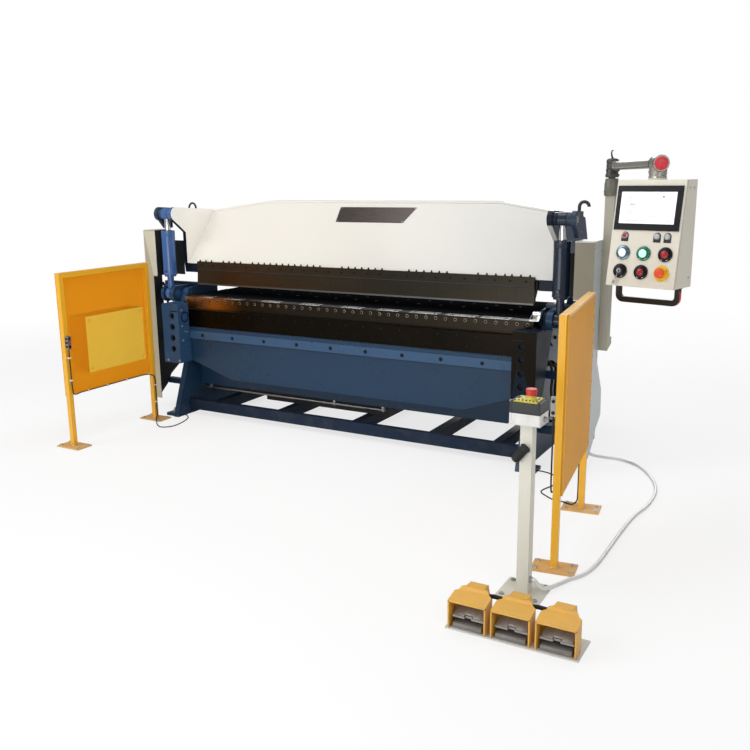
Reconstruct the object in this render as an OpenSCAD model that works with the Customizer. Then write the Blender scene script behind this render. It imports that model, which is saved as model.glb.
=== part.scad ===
// Hydraulic sheet metal folding machine, millimetres.
// X runs along the machine to the right, Y away from the operator, Z up.
// Origin: middle of the four floor anchor holes, at floor level.

/* [Machine] */
// Length of the folding blade
work_len = 2520; // [2200:20:3000]
// Height of the bend line and the table top
table_z = 832; // [780:2:900]
// Bend line distance in front of the origin
bend_y = 334; // [320:2:350]
// Gap kept between moving pieces
clear = 5; // [5:0.5:8]
// Radial play of pins in bores
pin_play = 0.3; // [0.3:0.1:0.6]

/* [Side frames] */
// Side plate thickness
frame_t = 40; // [30:1:50]
// Depth of the foot on the floor
foot_d = 1200; // [1100:10:1300]
// Anchor hole radius
anchor_r = 11; // [8:0.5:14]
// Anchor hole distance from the middle, front and back
anchor_y = 540; // [480:5:560]
// Hinge pin radius
hinge_r = 25; // [20:1:30]

/* [Lower bed] */
// Plate thickness of the bed box
bed_t = 20; // [12:1:24]
// Height of the bed underside
bed_z = 190; // [170:5:230]
// Depth of the bed box
bed_d = 330; // [300:10:380]

/* [Base ladder] */
// Underside of the rails
rail_z0 = 37; // [20:1:60]
// Rail height
rail_h = 72; // [60:1:90]
// Rail width
rail_w = 40; // [30:1:60]

/* [Folding beam] */
// Folding blade depth
blade_d = 91; // [80:1:100]
// Folding blade height
blade_h = 80; // [60:1:90]
// Blade holder height
holder_h = 121; // [100:1:140]
// Web height in the middle of the beam
web_mid_z = 280; // [260:5:320]
// Web height at the ends of the beam
web_end_z = 413; // [400:1:440]
// Web plate thickness
web_t = 20; // [14:1:25]

/* [Clamping beam] */
// Slope of the front plate in degrees
slope = 48; // [44:1:52]
// Height of the middle of the top edge
hump_z = 1467; // [1440:1:1490]
// Height of the ends of the top edge
hump_end_z = 1400; // [1380:1:1410]
// Half length of the level middle of the top edge
hump_half = 855; // [700:5:1000]
// Beam plate thickness
beam_t = 12; // [8:1:16]
// Opening angle of the tool in degrees
open_deg = 5.2; // [4:0.1:6]
// Arm plate thickness
arm_t = 27; // [20:1:27]
// Height of the rear pivot
pivot_z = 880; // [860:2:900]
// Distance of the rear pivot behind the origin
pivot_y = 370; // [350:5:400]

/* [Cylinders] */
// Distance of the cylinders from the middle
cyl_x = 1402; // [1400:1:1410]
// Cylinder barrel radius
barrel_r = 46; // [36:1:48]
// Rod radius
rod_r = 20; // [16:1:24]
// Upper pin height
pin_top_z = 1388; // [1380:1:1395]
// Lower pin height
pin_low_z = 838; // [830:1:850]
// Pin distance in front of the origin
pin_y = 408; // [400:1:415]

/* [Side covers] */
// Outer face distance from the middle
cover_x = 1590; // [1560:5:1640]
// Cover height
cover_z = 1277; // [1200:1:1300]
// Cover sheet thickness
cover_t = 4; // [3:0.5:6]

/* [Pendant] */
// Column width
col_w = 50; // [40:1:60]
// Column top height
col_z = 1510; // [1450:5:1550]
// Arm length
arm_len = 871; // [700:1:950]
// Arm direction in degrees
arm_deg = -63.2; // [-70:0.1:-55]
// Control box width
box_w = 315; // [280:1:340]
// Control box height
box_h = 456; // [420:1:480]
// Control box turn in degrees
box_deg = -14.6; // [-25:0.1:0]

/* [Guards] */
// Guard height
guard_h = 1080; // [1000:5:1200]
// Guard length
guard_l = 750; // [650:5:850]
// Post width
post_w = 30; // [25:1:40]
// Panel lower edge height
panel_z = 322; // [280:1:360]
// Panel thickness
panel_t = 5; // [4:0.5:8]

/* [Stop stand and pedals] */
// Stand position to the right
stand_x = 1770; // [1700:5:1850]
// Stand position in front
stand_y = 1949; // [1900:5:2000]
// Pole height
pole_h = 700; // [650:5:750]
// Pole width
pole_w = 48; // [40:1:60]
// Pedal spacing
pedal_p = 166; // [160:1:180]
// Pedal hood height
hood_h = 140; // [120:1:160]

/* [Hidden] */
hl = work_len / 2;
by = -bend_y;
bz = table_z;
fx0 = hl - 25;
fx1 = fx0 + frame_t;
// plates beside the frame, going outwards
hp0 = fx1;
eye_h = 23;
lug_r = 56;
hp1 = hp0 + 15;
sw0 = hp1 + clear;
sw1 = cyl_x - 67;
lug0 = sw1 + clear;
lug1 = cyl_x - eye_h - 3;
lug2 = cyl_x + eye_h + 3;
lug3 = lug2 + 23;
arm1 = cyl_x - barrel_r - 6;
arm0 = arm1 - arm_t;
ear0 = cyl_x + barrel_r + 6;
ear1 = ear0 + 24;
cy = -pin_y;
py = pivot_y;
pz = pivot_z;
// folding beam planes, counted from the bend line
fold_gap = 6;
blade_y1 = by - fold_gap;
blade_y0 = blade_y1 - blade_d;
blade_z1 = bz - clear;
blade_z0 = blade_z1 - blade_h;
holder_z0 = blade_z0 - holder_h;
web_y0 = by - 133;
ledge_y0 = web_y0 - 12;
back_y = by - 11;
// clamping beam
up_pin_r = 19.5;
barrel_z1 = pin_top_z - 114;
tool_z0 = bz + 69;
tool_z1 = tool_z0 + 160;
front_y = by + 21;
front_z = tool_z1 - 14;
top_y = front_y + (hump_z - front_z) / tan(slope);
// pendant
px = cover_x + 2 + col_w / 2;
pyc = -277;
swx = px + arm_len * cos(arm_deg);
swy = pyc + arm_len * sin(arm_deg);
arm_z = col_z + 152;
box_z1 = arm_z - 68;
box_z0 = box_z1 - box_h;
face_deg = atan(68 / 456);
guard_xl = -(sw1 + 10 + post_w);
guard_yl = -1428;
rg = [1798, -1705];
rg_deg = 7.2;
pedal_x = 1611;
pedal_y = -2354;

// helpers
module slab(x0, x1, y0, y1, z0, z1) {
  translate([x0, y0, z0]) cube([x1 - x0, y1 - y0, z1 - z0]);
}
module plate_x(x0, x1, pts) {
  translate([x0, 0, 0]) rotate([90, 0, 90]) linear_extrude(x1 - x0) polygon(pts);
}
module plate_y(y0, y1, pts) {
  translate([0, y1, 0]) rotate([90, 0, 0]) linear_extrude(y1 - y0) polygon(pts);
}
module rod_x(x0, x1, y, z, r) {
  translate([x0, y, z]) rotate([0, 90, 0]) cylinder(r = r, h = x1 - x0);
}
module rod_y(y0, y1, x, z, r) {
  translate([x, y1, z]) rotate([90, 0, 0]) cylinder(r = r, h = y1 - y0);
}
module rod_z(z0, z1, x, y, r) {
  translate([x, y, z0]) cylinder(r = r, h = z1 - z0);
}

// side frame, right hand, with hinge plate, cylinder lugs and cover brackets
module frame_shape() {
  hf = foot_d / 2;
  difference() {
    union() {
      plate_x(fx0, fx1, [[-hf, 0], [-hf + 10, 40], [-457, 395], [by + 12, 395],
        [by + 12, bz - 32], [by + 60, bz - 20], [py - 120, bz - 20], [py - 70, pz + 28],
        [py, pz + 75], [py + 75, pz], [hf - 80, 600], [hf, 60], [hf, 0]]);
      rod_x(fx0, fx1, py, pz, 75);
      rod_x(fx1, arm0 - clear, py, pz, 60);
      rod_x(fx1, arm1 + 12, py, pz, 35);
      plate_x(hp0, hp1, [[by, bz - 50], [-150, bz - 190], [-60, bz - 190],
        [-60, bz + 60], [by, bz + 50]]);
      rod_x(hp0, hp1, by, bz, 50);
      rod_x(hp0 - 5, sw1 + 4, by, bz, hinge_r);
      slab(fx1, cover_x + 2, by + 69, by + 99, bz - 62, bz + 73);
      for (x = [[lug0, lug1], [lug2, lug3]]) {
        plate_x(x[0], x[1], [[by + 70, bz - 40], [cy, pin_low_z - lug_r],
          [cy, pin_low_z + lug_r], [by + 70, bz + 60]]);
        rod_x(x[0], x[1], cy, pin_low_z, lug_r);
      }
      rod_x(lug0 - 0.0, lug3 + 8, cy, pin_low_z, 22);
      slab(cover_x - 90, cover_x - cover_t, -330, by + 70, bz - 12, bz + 28);
      slab(fx1, cover_x - cover_t, -300, -262, 480, 520);
      slab(fx1, cover_x - cover_t, -300, -262, 150, 190);
      for (s = [-1, 1]) slab(fx1, fx1 + 75, s * anchor_y - 50, s * anchor_y + 50, 0, 20);
    }
    for (s = [-1, 1]) rod_z(-1, 21, fx1 + 40, s * anchor_y, anchor_r);
  }
}
module side_frame_right() {
  color("#26466e") frame_shape();
}
module side_frame_left() {
  color("#26466e") mirror([1, 0, 0]) frame_shape();
}

// fixed bed box between the side frames
module lower_bed() {
  y0 = by + 4;
  y1 = by + bed_d;
  z1 = bz - 20;
  color("#26466e") {
    slab(-fx0, fx0, y0, y0 + bed_t, bed_z, bz - 52);
    slab(-fx0, fx0, y1 - bed_t, y1, bed_z, z1);
    slab(-fx0, fx0, y0 + bed_t, y1 - bed_t, bed_z, bed_z + bed_t);
    for (x = [-820, -410, 0, 410, 820])
      slab(x * hl / 1260 - 8, x * hl / 1260 + 8, y0 + bed_t, y1 - bed_t, bed_z + bed_t, bz - 52);
  }
}
// table bar with the lower clamping edge
module lower_blade() {
  color("#8a8d90") {
    slab(-hl, hl, by, by + 12, bz - 52, bz);
    slab(-fx0, fx0, by + 12, by + 60, bz - 52, bz);
    slab(-fx0, fx0, by + 60, by + bed_d, bz - 20, bz);
  }
}
// plate that carries the sheet behind the table
module rear_table() {
  y0 = by + bed_d;
  color("#6f7275") {
    slab(-fx0, fx0, y0, y0 + 330, bz - 14, bz - 2);
    for (x = [-0.75, -0.25, 0.25, 0.75]) plate_x(x * hl - 6, x * hl + 6,
      [[y0, bz - 130], [y0, bz - 14], [y0 + 310, bz - 14], [y0 + 310, bz - 40]]);
  }
}
module bed_pipe() {
  color("#b8bcc0") {
    rod_x(-fx0, hl * 0.2, by + 24, bed_z - 28, 7);
    for (x = [-0.93, -0.1, 0.19]) slab(x * hl - 8, x * hl + 8, by + 14, by + 34, bed_z - 36, bed_z);
  }
}
module base_ladder() {
  color("#26466e") {
    slab(-fx0, fx0, -480, -480 + rail_w, rail_z0, rail_z0 + rail_h);
    slab(-fx0, fx0, 380, 380 + rail_w, rail_z0, rail_z0 + rail_h);
    for (f = [-0.8, -0.37, 0.09, 0.52, 0.85])
      slab(f * hl - 28, f * hl + 28, -480 + rail_w, 380, rail_z0, rail_z0 + rail_h);
  }
}
module oil_tank() {
  color("#2b2e33") difference() {
    slab(-0.575 * hl, 0.195 * hl, -250, by + bed_d, rail_z0 + rail_h, bed_z);
    slab(-0.575 * hl + 4, 0.195 * hl - 4, -246, by + bed_d - 4, rail_z0 + rail_h + 4, bed_z - 4);
  }
}

// side covers
module cover_shape() {
  xo = cover_x;
  xi = ear1 + 6;
  z0 = 73;
  y0 = -450;
  pts = [[y0, z0], [y0, cover_z], [-295, cover_z], [-295, 600], [-180, 420],
    [-171, 270], [-262, 213], [-307, 146], [-400, z0]];
  plate_x(xo - cover_t, xo, pts);
  slab(xi, xo - cover_t, y0, y0 + cover_t, 962, cover_z);
  slab(xo - 70, xo - cover_t, y0, y0 + cover_t, z0, 962);
  slab(xi, xo - cover_t, y0 + cover_t, -295, cover_z - cover_t, cover_z);
  slab(xi, xi + cover_t, y0 + cover_t, -295, 962, cover_z - cover_t);
  slab(arm1 + 16, xi, -295 - cover_t, -295, 962, cover_z - 77);
}
module side_cover_right() {
  color("#e6e0cf") cover_shape();
}
module side_cover_left() {
  color("#e6e0cf") mirror([1, 0, 0]) cover_shape();
}

// folding beam
module folding_beam() {
  color("#2c5080") {
    plate_y(web_y0, web_y0 + web_t, [[-hl, holder_z0], [-hl, web_end_z],
      [-0.68 * hl, web_mid_z], [0.68 * hl, web_mid_z], [hl, web_end_z], [hl, holder_z0]]);
    slab(-hl, hl, web_y0 + web_t, back_y, holder_z0 - 20, holder_z0);
    slab(-hl, hl, back_y - 16, back_y, web_end_z + 7, holder_z0 - 20);
    slab(-hl, hl, web_y0 + web_t, back_y, web_end_z + 7, web_end_z + 23);
    slab(-hl + 2, hl - 2, ledge_y0, web_y0, holder_z0 - 59, holder_z0 - 4);
  }
}
module folding_blade() {
  color("#9a9c9e") slab(-hl, hl, blade_y0, blade_y1, blade_z0, blade_z1);
}
module blade_holder() {
  color("#303236") slab(-hl, hl, web_y0 + 2, back_y, holder_z0, blade_z0);
}
// swing arm with its bolted block, right hand
module swing_shape() {
  b0 = by - 254;
  difference() {
    union() {
      plate_x(sw0, sw1, [[b0, bz - 40], [b0, bz - 446], [web_y0, bz - 446],
        [by + 36, bz - 24], [by, bz + 42], [by - 42, bz], [by - 66, bz - 46], [web_y0, bz - 52]]);
      rod_x(sw0, sw1, by, bz, 42);
      slab(hl - 65, sw1, b0, web_y0, bz - 446, bz - 40);
    }
    rod_x(sw0 - 1, sw1 + 1, by, bz, hinge_r + pin_play);
    slab(hl - 66, hl + 2 + clear, ledge_y0 - 0.01, web_y0 + 1, holder_z0 - 60, holder_z0 + 400);
    for (i = [0 : 3]) rod_y(b0 - 1, b0 + 22, hl - 10, bz - 120 - i * 76, 17);
  }
}
module swing_arm_right() {
  color("#3e6293") swing_shape();
}
module swing_arm_left() {
  color("#3e6293") mirror([1, 0, 0]) swing_shape();
}

// clamping beam: sloped front plate, box and end arms
module hump(dz) {
  plate_y(-700, 700, [[-arm0, 900 + dz], [-arm0, hump_end_z - dz], [-hump_half, hump_z - dz],
    [hump_half, hump_z - dz], [arm0, hump_end_z - dz], [arm0, 900 + dz]]);
}
module beam_section(t) {
  s = t / sin(slope);
  c = t * (1 - cos(slope)) / sin(slope);
  plate_x(-arm0, arm0, [[front_y + s, front_z - 2 + t], [top_y + c, hump_z - t],
    [150 - t, hump_z - t], [150 - t, 1000 + t], [-180 + t * 0.4, 1000 + t],
    [-255 + t * 0.4, front_z - 2 + t]]);
}
module clamp_beam() {
  color("#f0ede4") {
    difference() {
      intersection() {
        beam_section(0);
        hump(0);
      }
      intersection() {
        beam_section(beam_t);
        hump(beam_t);
      }
    }
    for (s = [0, 1]) mirror([s, 0, 0]) difference() {
      union() {
        plate_x(arm0, arm1, [[front_y, front_z], [front_y, front_z + 212],
          [cy - 33, pin_top_z - 33], [cy, pin_top_z + 46], [60, 1402], [200, 1370],
          [py + 62, pz + 32], [py, pz - 70], [-150, bz + 136], [front_y + 8, bz + 150]]);
        slab(hl - 20, arm0, front_y + 12, front_y + 36, bz + 150, front_z - 2);
        rod_x(arm0, arm1, cy, pin_top_z, 46);
        rod_x(arm0, arm1, py, pz, 70);
        rod_x(arm1, cyl_x - eye_h - 3, cy, pin_top_z, 36);
        rod_x(arm1, ear0 + 1, cy, pin_top_z, up_pin_r);
      }
      rod_x(arm0 - 1, arm1 + 1, py, pz, 35 + pin_play);
    }
  }
}
module clamp_tool() {
  t = tan(open_deg);
  color("#a08a70") plate_x(-hl + 35, hl - 35, [[by, tool_z0], [by + 106 * t, tool_z0 + 106],
    [by + 106 * t - 7, tool_z0 + 106], [by + 160 * t - 7, tool_z1], [front_y, tool_z1],
    [front_y, front_z - 2], [-255, front_z - 2], [-270, tool_z0 + 70],
    [by + 10, tool_z0 + 10 * t]]);
}
// outer ears, tied to the arms behind the cylinders
module beam_ears() {
  color("#26466e") for (s = [0, 1]) mirror([s, 0, 0]) difference() {
    union() {
      plate_x(ear0, ear1, [[cy + 40, pin_top_z - 100], [cy - 46, pin_top_z],
        [cy, pin_top_z + 46], [cy + 112, pin_top_z + 38], [cy + 112, pin_top_z - 100]]);
      rod_x(ear0, ear1, cy, pin_top_z, 46);
      rod_x(cyl_x + eye_h + 3, ear0, cy, pin_top_z, 36);
      slab(arm1, ear0, cy + 72, cy + 112, pin_top_z - 28, pin_top_z + 30);
    }
    rod_x(cyl_x + eye_h + 2, ear0 + 1, cy, pin_top_z, up_pin_r + pin_play);
  }
}
module lifting_hooks() {
  drop = atan(32 / (60 - cy));
  color("#3a3c40") {
    translate([(ear0 + ear1) / 2, cy + 71, pin_top_z + 42]) {
      rod_z(0, 22, 0, 0, 9);
      translate([26, 0, 22]) rotate([90, 0, 0]) rotate_extrude(angle = 180)
        translate([26, 0, 0]) circle(r = 9);
    }
    translate([-(arm0 + arm1) / 2, cy + 195, pin_top_z + 33]) rotate([-drop, 0, 0])
      rotate([90, 0, 90]) rotate_extrude(angle = 180) translate([35, 0, 0]) circle(r = 7);
  }
}

// hydraulic cylinders
module barrel_shape() {
  difference() {
    union() {
      rod_z(pin_low_z + 132, barrel_z1, cyl_x, cy, barrel_r);
      rod_z(pin_low_z + 120, pin_low_z + 132, cyl_x, cy, barrel_r - 6);
      rod_z(pin_low_z + 30, pin_low_z + 130, cyl_x, cy, 22.5);
      rod_x(cyl_x - eye_h, cyl_x + eye_h, cy, pin_low_z, 42);
    }
    rod_x(cyl_x - eye_h - 1, cyl_x + eye_h + 1, cy, pin_low_z, 22 + pin_play);
    rod_z(pin_low_z + 144, barrel_z1 - 14, cyl_x, cy, barrel_r - 10);
    rod_z(barrel_z1 - 20, barrel_z1 + 4, cyl_x, cy, rod_r + pin_play);
  }
}
module rod_shape() {
  difference() {
    union() {
      rod_z(1080, pin_top_z - 20, cyl_x, cy, rod_r);
      rod_x(cyl_x - eye_h, cyl_x + eye_h, cy, pin_top_z, 38);
    }
    rod_x(cyl_x - eye_h - 1, cyl_x + eye_h + 1, cy, pin_top_z, 22);
  }
}
module cylinder_barrel_right() {
  color("#2f5fa8") barrel_shape();
}
module cylinder_barrel_left() {
  color("#2f5fa8") mirror([1, 0, 0]) barrel_shape();
}
module cylinder_rod_right() {
  color("#d8dadc") rod_shape();
}
module cylinder_rod_left() {
  color("#d8dadc") mirror([1, 0, 0]) rod_shape();
}

// pendant
module pendant_column() {
  color("#e6e0cf") {
    difference() {
      slab(px - col_w / 2, px + col_w / 2, pyc - col_w / 2, pyc + col_w / 2, 740, col_z);
      slab(px - col_w / 2 + 3, px + col_w / 2 - 3, pyc - col_w / 2 + 3, pyc + col_w / 2 - 3,
        743, col_z - 3);
    }
    plate_x(px - col_w / 2, px + col_w / 2, [[pyc - 25, 672], [pyc - 25, 740], [pyc + 60, 740],
      [pyc + 60, 700]]);
    slab(px - col_w / 2, px - col_w / 2 + 10, pyc + 20, pyc + 60, 740, 905);
    rod_z(col_z, col_z + 88, px, pyc, 33);
    rod_z(col_z + 88, col_z + 120, px, pyc, 18);
  }
}
module pendant_arm() {
  color("#8d8f8c") translate([px, pyc, 0]) rotate([0, 0, arm_deg]) {
    difference() {
      rod_z(col_z + 93, col_z + 185, 0, 0, 30);
      rod_z(col_z + 90, col_z + 125, 0, 0, 18 + pin_play);
    }
    rod_x(20, arm_len - 20, 0, arm_z, 21);
    rod_x(arm_len - 40, arm_len + 45, 0, arm_z, 34);
    difference() {
      rod_z(box_z1 + 6, arm_z - 2, arm_len, 0, 36);
      rod_z(box_z1 + 5, box_z1 + 24, arm_len, 0, 15 + pin_play);
    }
  }
}
module box_frame() {
  translate([swx, swy, 0]) rotate([0, 0, box_deg]) children();
}
module pendant_box() {
  w = box_w / 2;
  color("#e6e0cf") box_frame() {
    difference() {
      plate_x(-w, w, [[50, box_z0], [50, box_z1], [-50, box_z1], [-50 - box_h * 68 / 456, box_z0]]);
      plate_x(-w + 3, w - 3, [[47, box_z0 + 3], [47, box_z1 - 3], [-47, box_z1 - 3],
        [-46.5 - (box_h - 3) * 68 / 456, box_z0 + 3]]);
    }
    rod_z(box_z1, box_z1 + 5.7, 0, 0, 40);
    rod_z(box_z1 + 5.7, box_z1 + 22, 0, 0, 15);
  }
}
// parts on the sloped face: u across, v down the face from the top edge
module on_face(u, v) {
  box_frame() translate([0, -50, box_z1]) rotate([-face_deg, 0, 0])
    translate([u, 0, -v]) rotate([90, 0, 0]) children();
}
module pendant_panel() {
  color("#1b1c1e") {
    on_face(0, 121) translate([-149, -95, 0]) cube([298, 190, 5]);
    for (p = [[-91, 315], [5, 315], [104, 315], [-95, 395], [3, 395]])
      on_face(p[0], p[1]) cylinder(r = 31, h = 6);
    for (p = [[-92, 240], [57, 240], [104, 240]]) on_face(p[0], p[1]) cylinder(r = 12, h = 8);
    for (p = [[-91, 315], [5, 315], [104, 315]]) on_face(p[0], p[1]) cylinder(r = 20, h = 13);
    on_face(-95, 395) cylinder(r = 18, h = 14);
    on_face(3, 395) cylinder(r = 19, h = 13);
    on_face(97, 395) cylinder(r = 33, h = 5);
    on_face(97, 395) cylinder(r = 12, h = 20);
  }
}
module pendant_stop() {
  color("#c8281e") on_face(97, 395) {
    difference() {
      translate([0, 0, 16]) cylinder(r = 20, h = 14);
      translate([0, 0, 10]) cylinder(r = 12.5, h = 15);
    }
  }
}
module pendant_handle() {
  color("#1b1c1e") box_frame() {
    for (s = [-1, 1]) slab(s * 140 - 11, s * 140 + 11, -40, -16, box_z0 - 82, box_z0);
    slab(-129, 129, -40, -16, box_z0 - 82, box_z0 - 58);
  }
}

// guards, in a frame whose origin is the outer front corner of the front post
module guard_shape() {
  w = post_w;
  difference() {
    union() {
      for (y = [0, guard_l - w]) {
        slab(0, w, y, y + w, 8, guard_h);
        slab(w / 2 - 92, w / 2 + 92, y + w / 2 - 57, y + w / 2 + 57, 0, 8);
      }
      slab(0, w, w, guard_l - w, guard_h - w, guard_h);
    }
    for (y = [0, guard_l - w]) slab(3, w - 3, y + 3, y + w - 3, 11, guard_h - 3);
    slab(3, w - 3, w - 4, guard_l - w + 4, guard_h - w + 3, guard_h - 3);
  }
}
module at_left() {
  translate([guard_xl, guard_yl, 0]) children();
}
module at_right() {
  translate([rg[0], rg[1], 0]) rotate([0, 0, rg_deg]) children();
}
module guard_frame_left() {
  color("#f0b81a") at_left() guard_shape();
}
module guard_frame_right() {
  color("#f0b81a") at_right() guard_shape();
}
module guard_panel_left() {
  color("#e09a20") at_left() slab(-panel_t, 0, 0, guard_l, panel_z, guard_h);
}
module guard_panel_right() {
  color("#e09a20") at_right() slab(post_w, post_w + panel_t, 24, guard_l, panel_z, guard_h);
}
module guard_cabinet() {
  color("#eadfbe") at_left() difference() {
    slab(-150, -panel_t, 206, guard_l - 49, 430, 787);
    slab(-147, -panel_t - 3, 209, guard_l - 52, 433, 784);
  }
}
module guard_sensor_left() {
  color("#3a3c40") at_left() slab(post_w, post_w + 24, 4, 28, 620, 700);
}
module guard_sensor_right() {
  color("#8a8d90") at_right() slab(-22, 0, 4, 28, 664, 744);
}

// stop button stand
module stand_post() {
  w = pole_w / 2;
  color("#e6e0cf") {
    slab(stand_x - 90, stand_x + 90, -stand_y - 90, -stand_y + 90, 0, 6);
    difference() {
      slab(stand_x - w, stand_x + w, -stand_y - w, -stand_y + w, 6, pole_h);
      slab(stand_x - w + 3, stand_x + w - 3, -stand_y - w + 3, -stand_y + w - 3, 9, pole_h - 3);
    }
  }
}
module stand_box() {
  color("#f2f0ea") {
    slab(stand_x - 60, stand_x + 60, -stand_y - 50, -stand_y + 50, pole_h, pole_h + 45);
    slab(stand_x - 60, stand_x + 60, -stand_y - 49, -stand_y + 49, pole_h + 45, pole_h + 90);
    slab(stand_x - 46, stand_x + 46, -stand_y - 38, -stand_y + 38, pole_h + 90, pole_h + 95);
    rod_z(pole_h + 95, pole_h + 118, stand_x + 8, -stand_y, 12);
  }
}
module stand_stop() {
  color("#c8281e") difference() {
    rod_z(pole_h + 110, pole_h + 134, stand_x + 8, -stand_y, 20);
    rod_z(pole_h + 100, pole_h + 125, stand_x + 8, -stand_y, 12.5);
  }
}
module stand_grip() {
  f = -stand_y - pole_w / 2;
  color("#1b1c1e") {
    translate([stand_x - 16, f - 18, pole_h - 114]) rotate([0, 38, 0]) translate([0, 0, -30])
      cylinder(r = 17, h = 62);
    slab(stand_x - 23, stand_x - 7, f - 8, f, pole_h - 122, pole_h - 104);
  }
}

// foot switches
module pedal_base() {
  w = 3 * pedal_p;
  color("#b8bcc0") slab(pedal_x, pedal_x + w, pedal_y, pedal_y + 152, 0, 6);
}
module hood_form(x0, x1, t) {
  y0 = pedal_y + 3;
  xm = (x0 + x1) / 2;
  y2 = y0 + 146 - t;
  intersection() {
    plate_x(x0 + t, x1 - t, [[y0 - t, 6 - t], [y0 - t, hood_h - 26 - t], [y0 + 74, hood_h - 12 - t],
      [y0 + 80, hood_h - t], [y0 + 128 - t, hood_h - t], [y2, 92], [y2, 6 - t]]);
    linear_extrude(hood_h + 10) polygon([[x0 + t, y0 - t], [x1 - t, y0 - t],
      [x1 - t, y0 + 62 - t], [xm + 38 - t, y0 + 92 - t], [xm + 34 - t, y2],
      [xm - 34 + t, y2], [xm - 38 + t, y0 + 92 - t], [x0 + t, y0 + 62 - t]]);
  }
}
module pedal_hoods() {
  y0 = pedal_y + 3;
  color("#f0b81a") for (i = [0 : 2]) {
    x0 = pedal_x + 10 + i * pedal_p;
    x1 = x0 + pedal_p - 20;
    difference() {
      hood_form(x0, x1, 0);
      hood_form(x0, x1, 5);
    }
    rod_x((x0 + x1) / 2 - 31, (x0 + x1) / 2 + 31, y0 + 120, 44, 5);
  }
}
module treadle(i) {
  y0 = pedal_y + 3;
  x0 = pedal_x + 22 + i * pedal_p;
  x1 = x0 + pedal_p - 44;
  xm = (x0 + x1) / 2;
  color("#9a9c9e") difference() {
    union() {
      plate_x(x0, x1, [[y0 + 16, 44], [y0 + 16, 52], [y0 + 54, 56], [y0 + 54, 46]]);
      plate_x(xm - 24, xm + 24, [[y0 + 52, 46], [y0 + 52, 56], [y0 + 120, 54], [y0 + 120, 40]]);
      rod_x(xm - 24, xm + 24, y0 + 120, 44, 10);
    }
    rod_x(x0 - 1, x1 + 1, y0 + 120, 44, 5 + pin_play);
    slab(xm - 13, xm + 13, y0, y0 + 26, 30, 80);
  }
}
module treadle_left() {
  treadle(0);
}
module treadle_middle() {
  treadle(1);
}
module treadle_right() {
  treadle(2);
}

// tube swept along a list of points
function unit(v) = v / norm(v);
function tube_dir(p, i) = i == 0 ? unit(p[1] - p[0]) :
  i == len(p) - 1 ? unit(p[i] - p[i - 1]) : unit(unit(p[i + 1] - p[i]) + unit(p[i] - p[i - 1]));
function side_of(d) = abs(d[2]) > 0.9 ? unit(cross(d, [1, 0, 0])) : unit(cross(d, [0, 0, 1]));
module tube(p, r, n) {
  rings = [for (i = [0 : len(p) - 1]) let(d = tube_dir(p, i), a = side_of(d), b = cross(d, a))
    for (k = [0 : n - 1]) p[i] + r * (cos(360 * k / n) * a + sin(360 * k / n) * b)];
  faces = concat([[for (k = [0 : n - 1]) k]],
    [for (i = [0 : len(p) - 2]) for (k = [0 : n - 1])
      [i * n + k, (i + 1) * n + k, (i + 1) * n + (k + 1) % n, i * n + (k + 1) % n]],
    [[for (k = [n - 1 : -1 : 0]) (len(p) - 1) * n + k]]);
  polyhedron(points = rings, faces = faces, convexity = 8);
}
// points along a smooth curve through the given stations
function bend(p, i, t) = let(n = len(p) - 1, a = p[max(i - 1, 0)], b = p[i], c = p[i + 1],
  d = p[min(i + 2, n)]) 0.5 * (2 * b + (c - a) * t + (2 * a - 5 * b + 4 * c - d) * t * t
  + (3 * b - a - 3 * c + d) * t * t * t);
function curve(p, m) = concat([for (i = [0 : len(p) - 2]) for (k = [0 : m - 1])
  bend(p, i, k / m)], [p[len(p) - 1]]);

module conduit() {
  r = 9;
  w = stand_x + pole_w / 2;
  color("#c9ccce") tube(curve([[w + 0.1, -1949, 60], [w + 9, -1949, 60],
    [w + 18, -1949, 59.9], [stand_x + 66, -1938, 30], [stand_x + 88, -1908, 19],
    [1884, -1840, 14], [1906, -1775, 10], [1944, -1706, 10], [1965, -1590, 10], [1969, -1420, 10],
    [1971, -1223, 10], [1980, -990, 10], [2008, -790, 10], [2000, -580, 10], [1937, -390, 10],
    [1830, -220, 10], [1714, -150, 10], [1630, -160, 14], [1566, -215, 35], [1551, -268, 75],
    [1550, -281, 112], [1550, -281, 130], [1550, -281, 149.9]], 4), r, 10);
}
module guard_cable_left() {
  x = guard_xl;
  color("#151617") tube(curve([[x + 42, -1412, 619.9], [x + 42, -1412, 540], [x + 40, -1410, 440],
    [x + 37, -1404, 350], [x + 27, -1377, 328], [x + 12, -1312, 327], [x + 12, -1192, 327],
    [x + 12, -1052, 327], [x + 12, -872, 327], [x + 15, -762, 326], [x + 31, -720, 318],
    [x + 36, -696, 290], [x + 35, -693, 200], [x + 35, -694, 90], [x + 39, -699, 35],
    [x + 60, -732, 14.5], [-1235, -812, 7], [-1165, -850, 4.5], [-1110, -800, 4.5],
    [-1115, -700, 4.5], [-1150, -600, 5], [-1190, -562, 11], [25 - fx0, -560, 12],
    [12 - fx0, -560, 12], [0.1 - fx0, -560, 12]], 3), 3.5, 8);
}
function on_right(p) = [rg[0] + p[0] * cos(rg_deg) - p[1] * sin(rg_deg),
  rg[1] + p[0] * sin(rg_deg) + p[1] * cos(rg_deg), p[2]];
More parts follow.
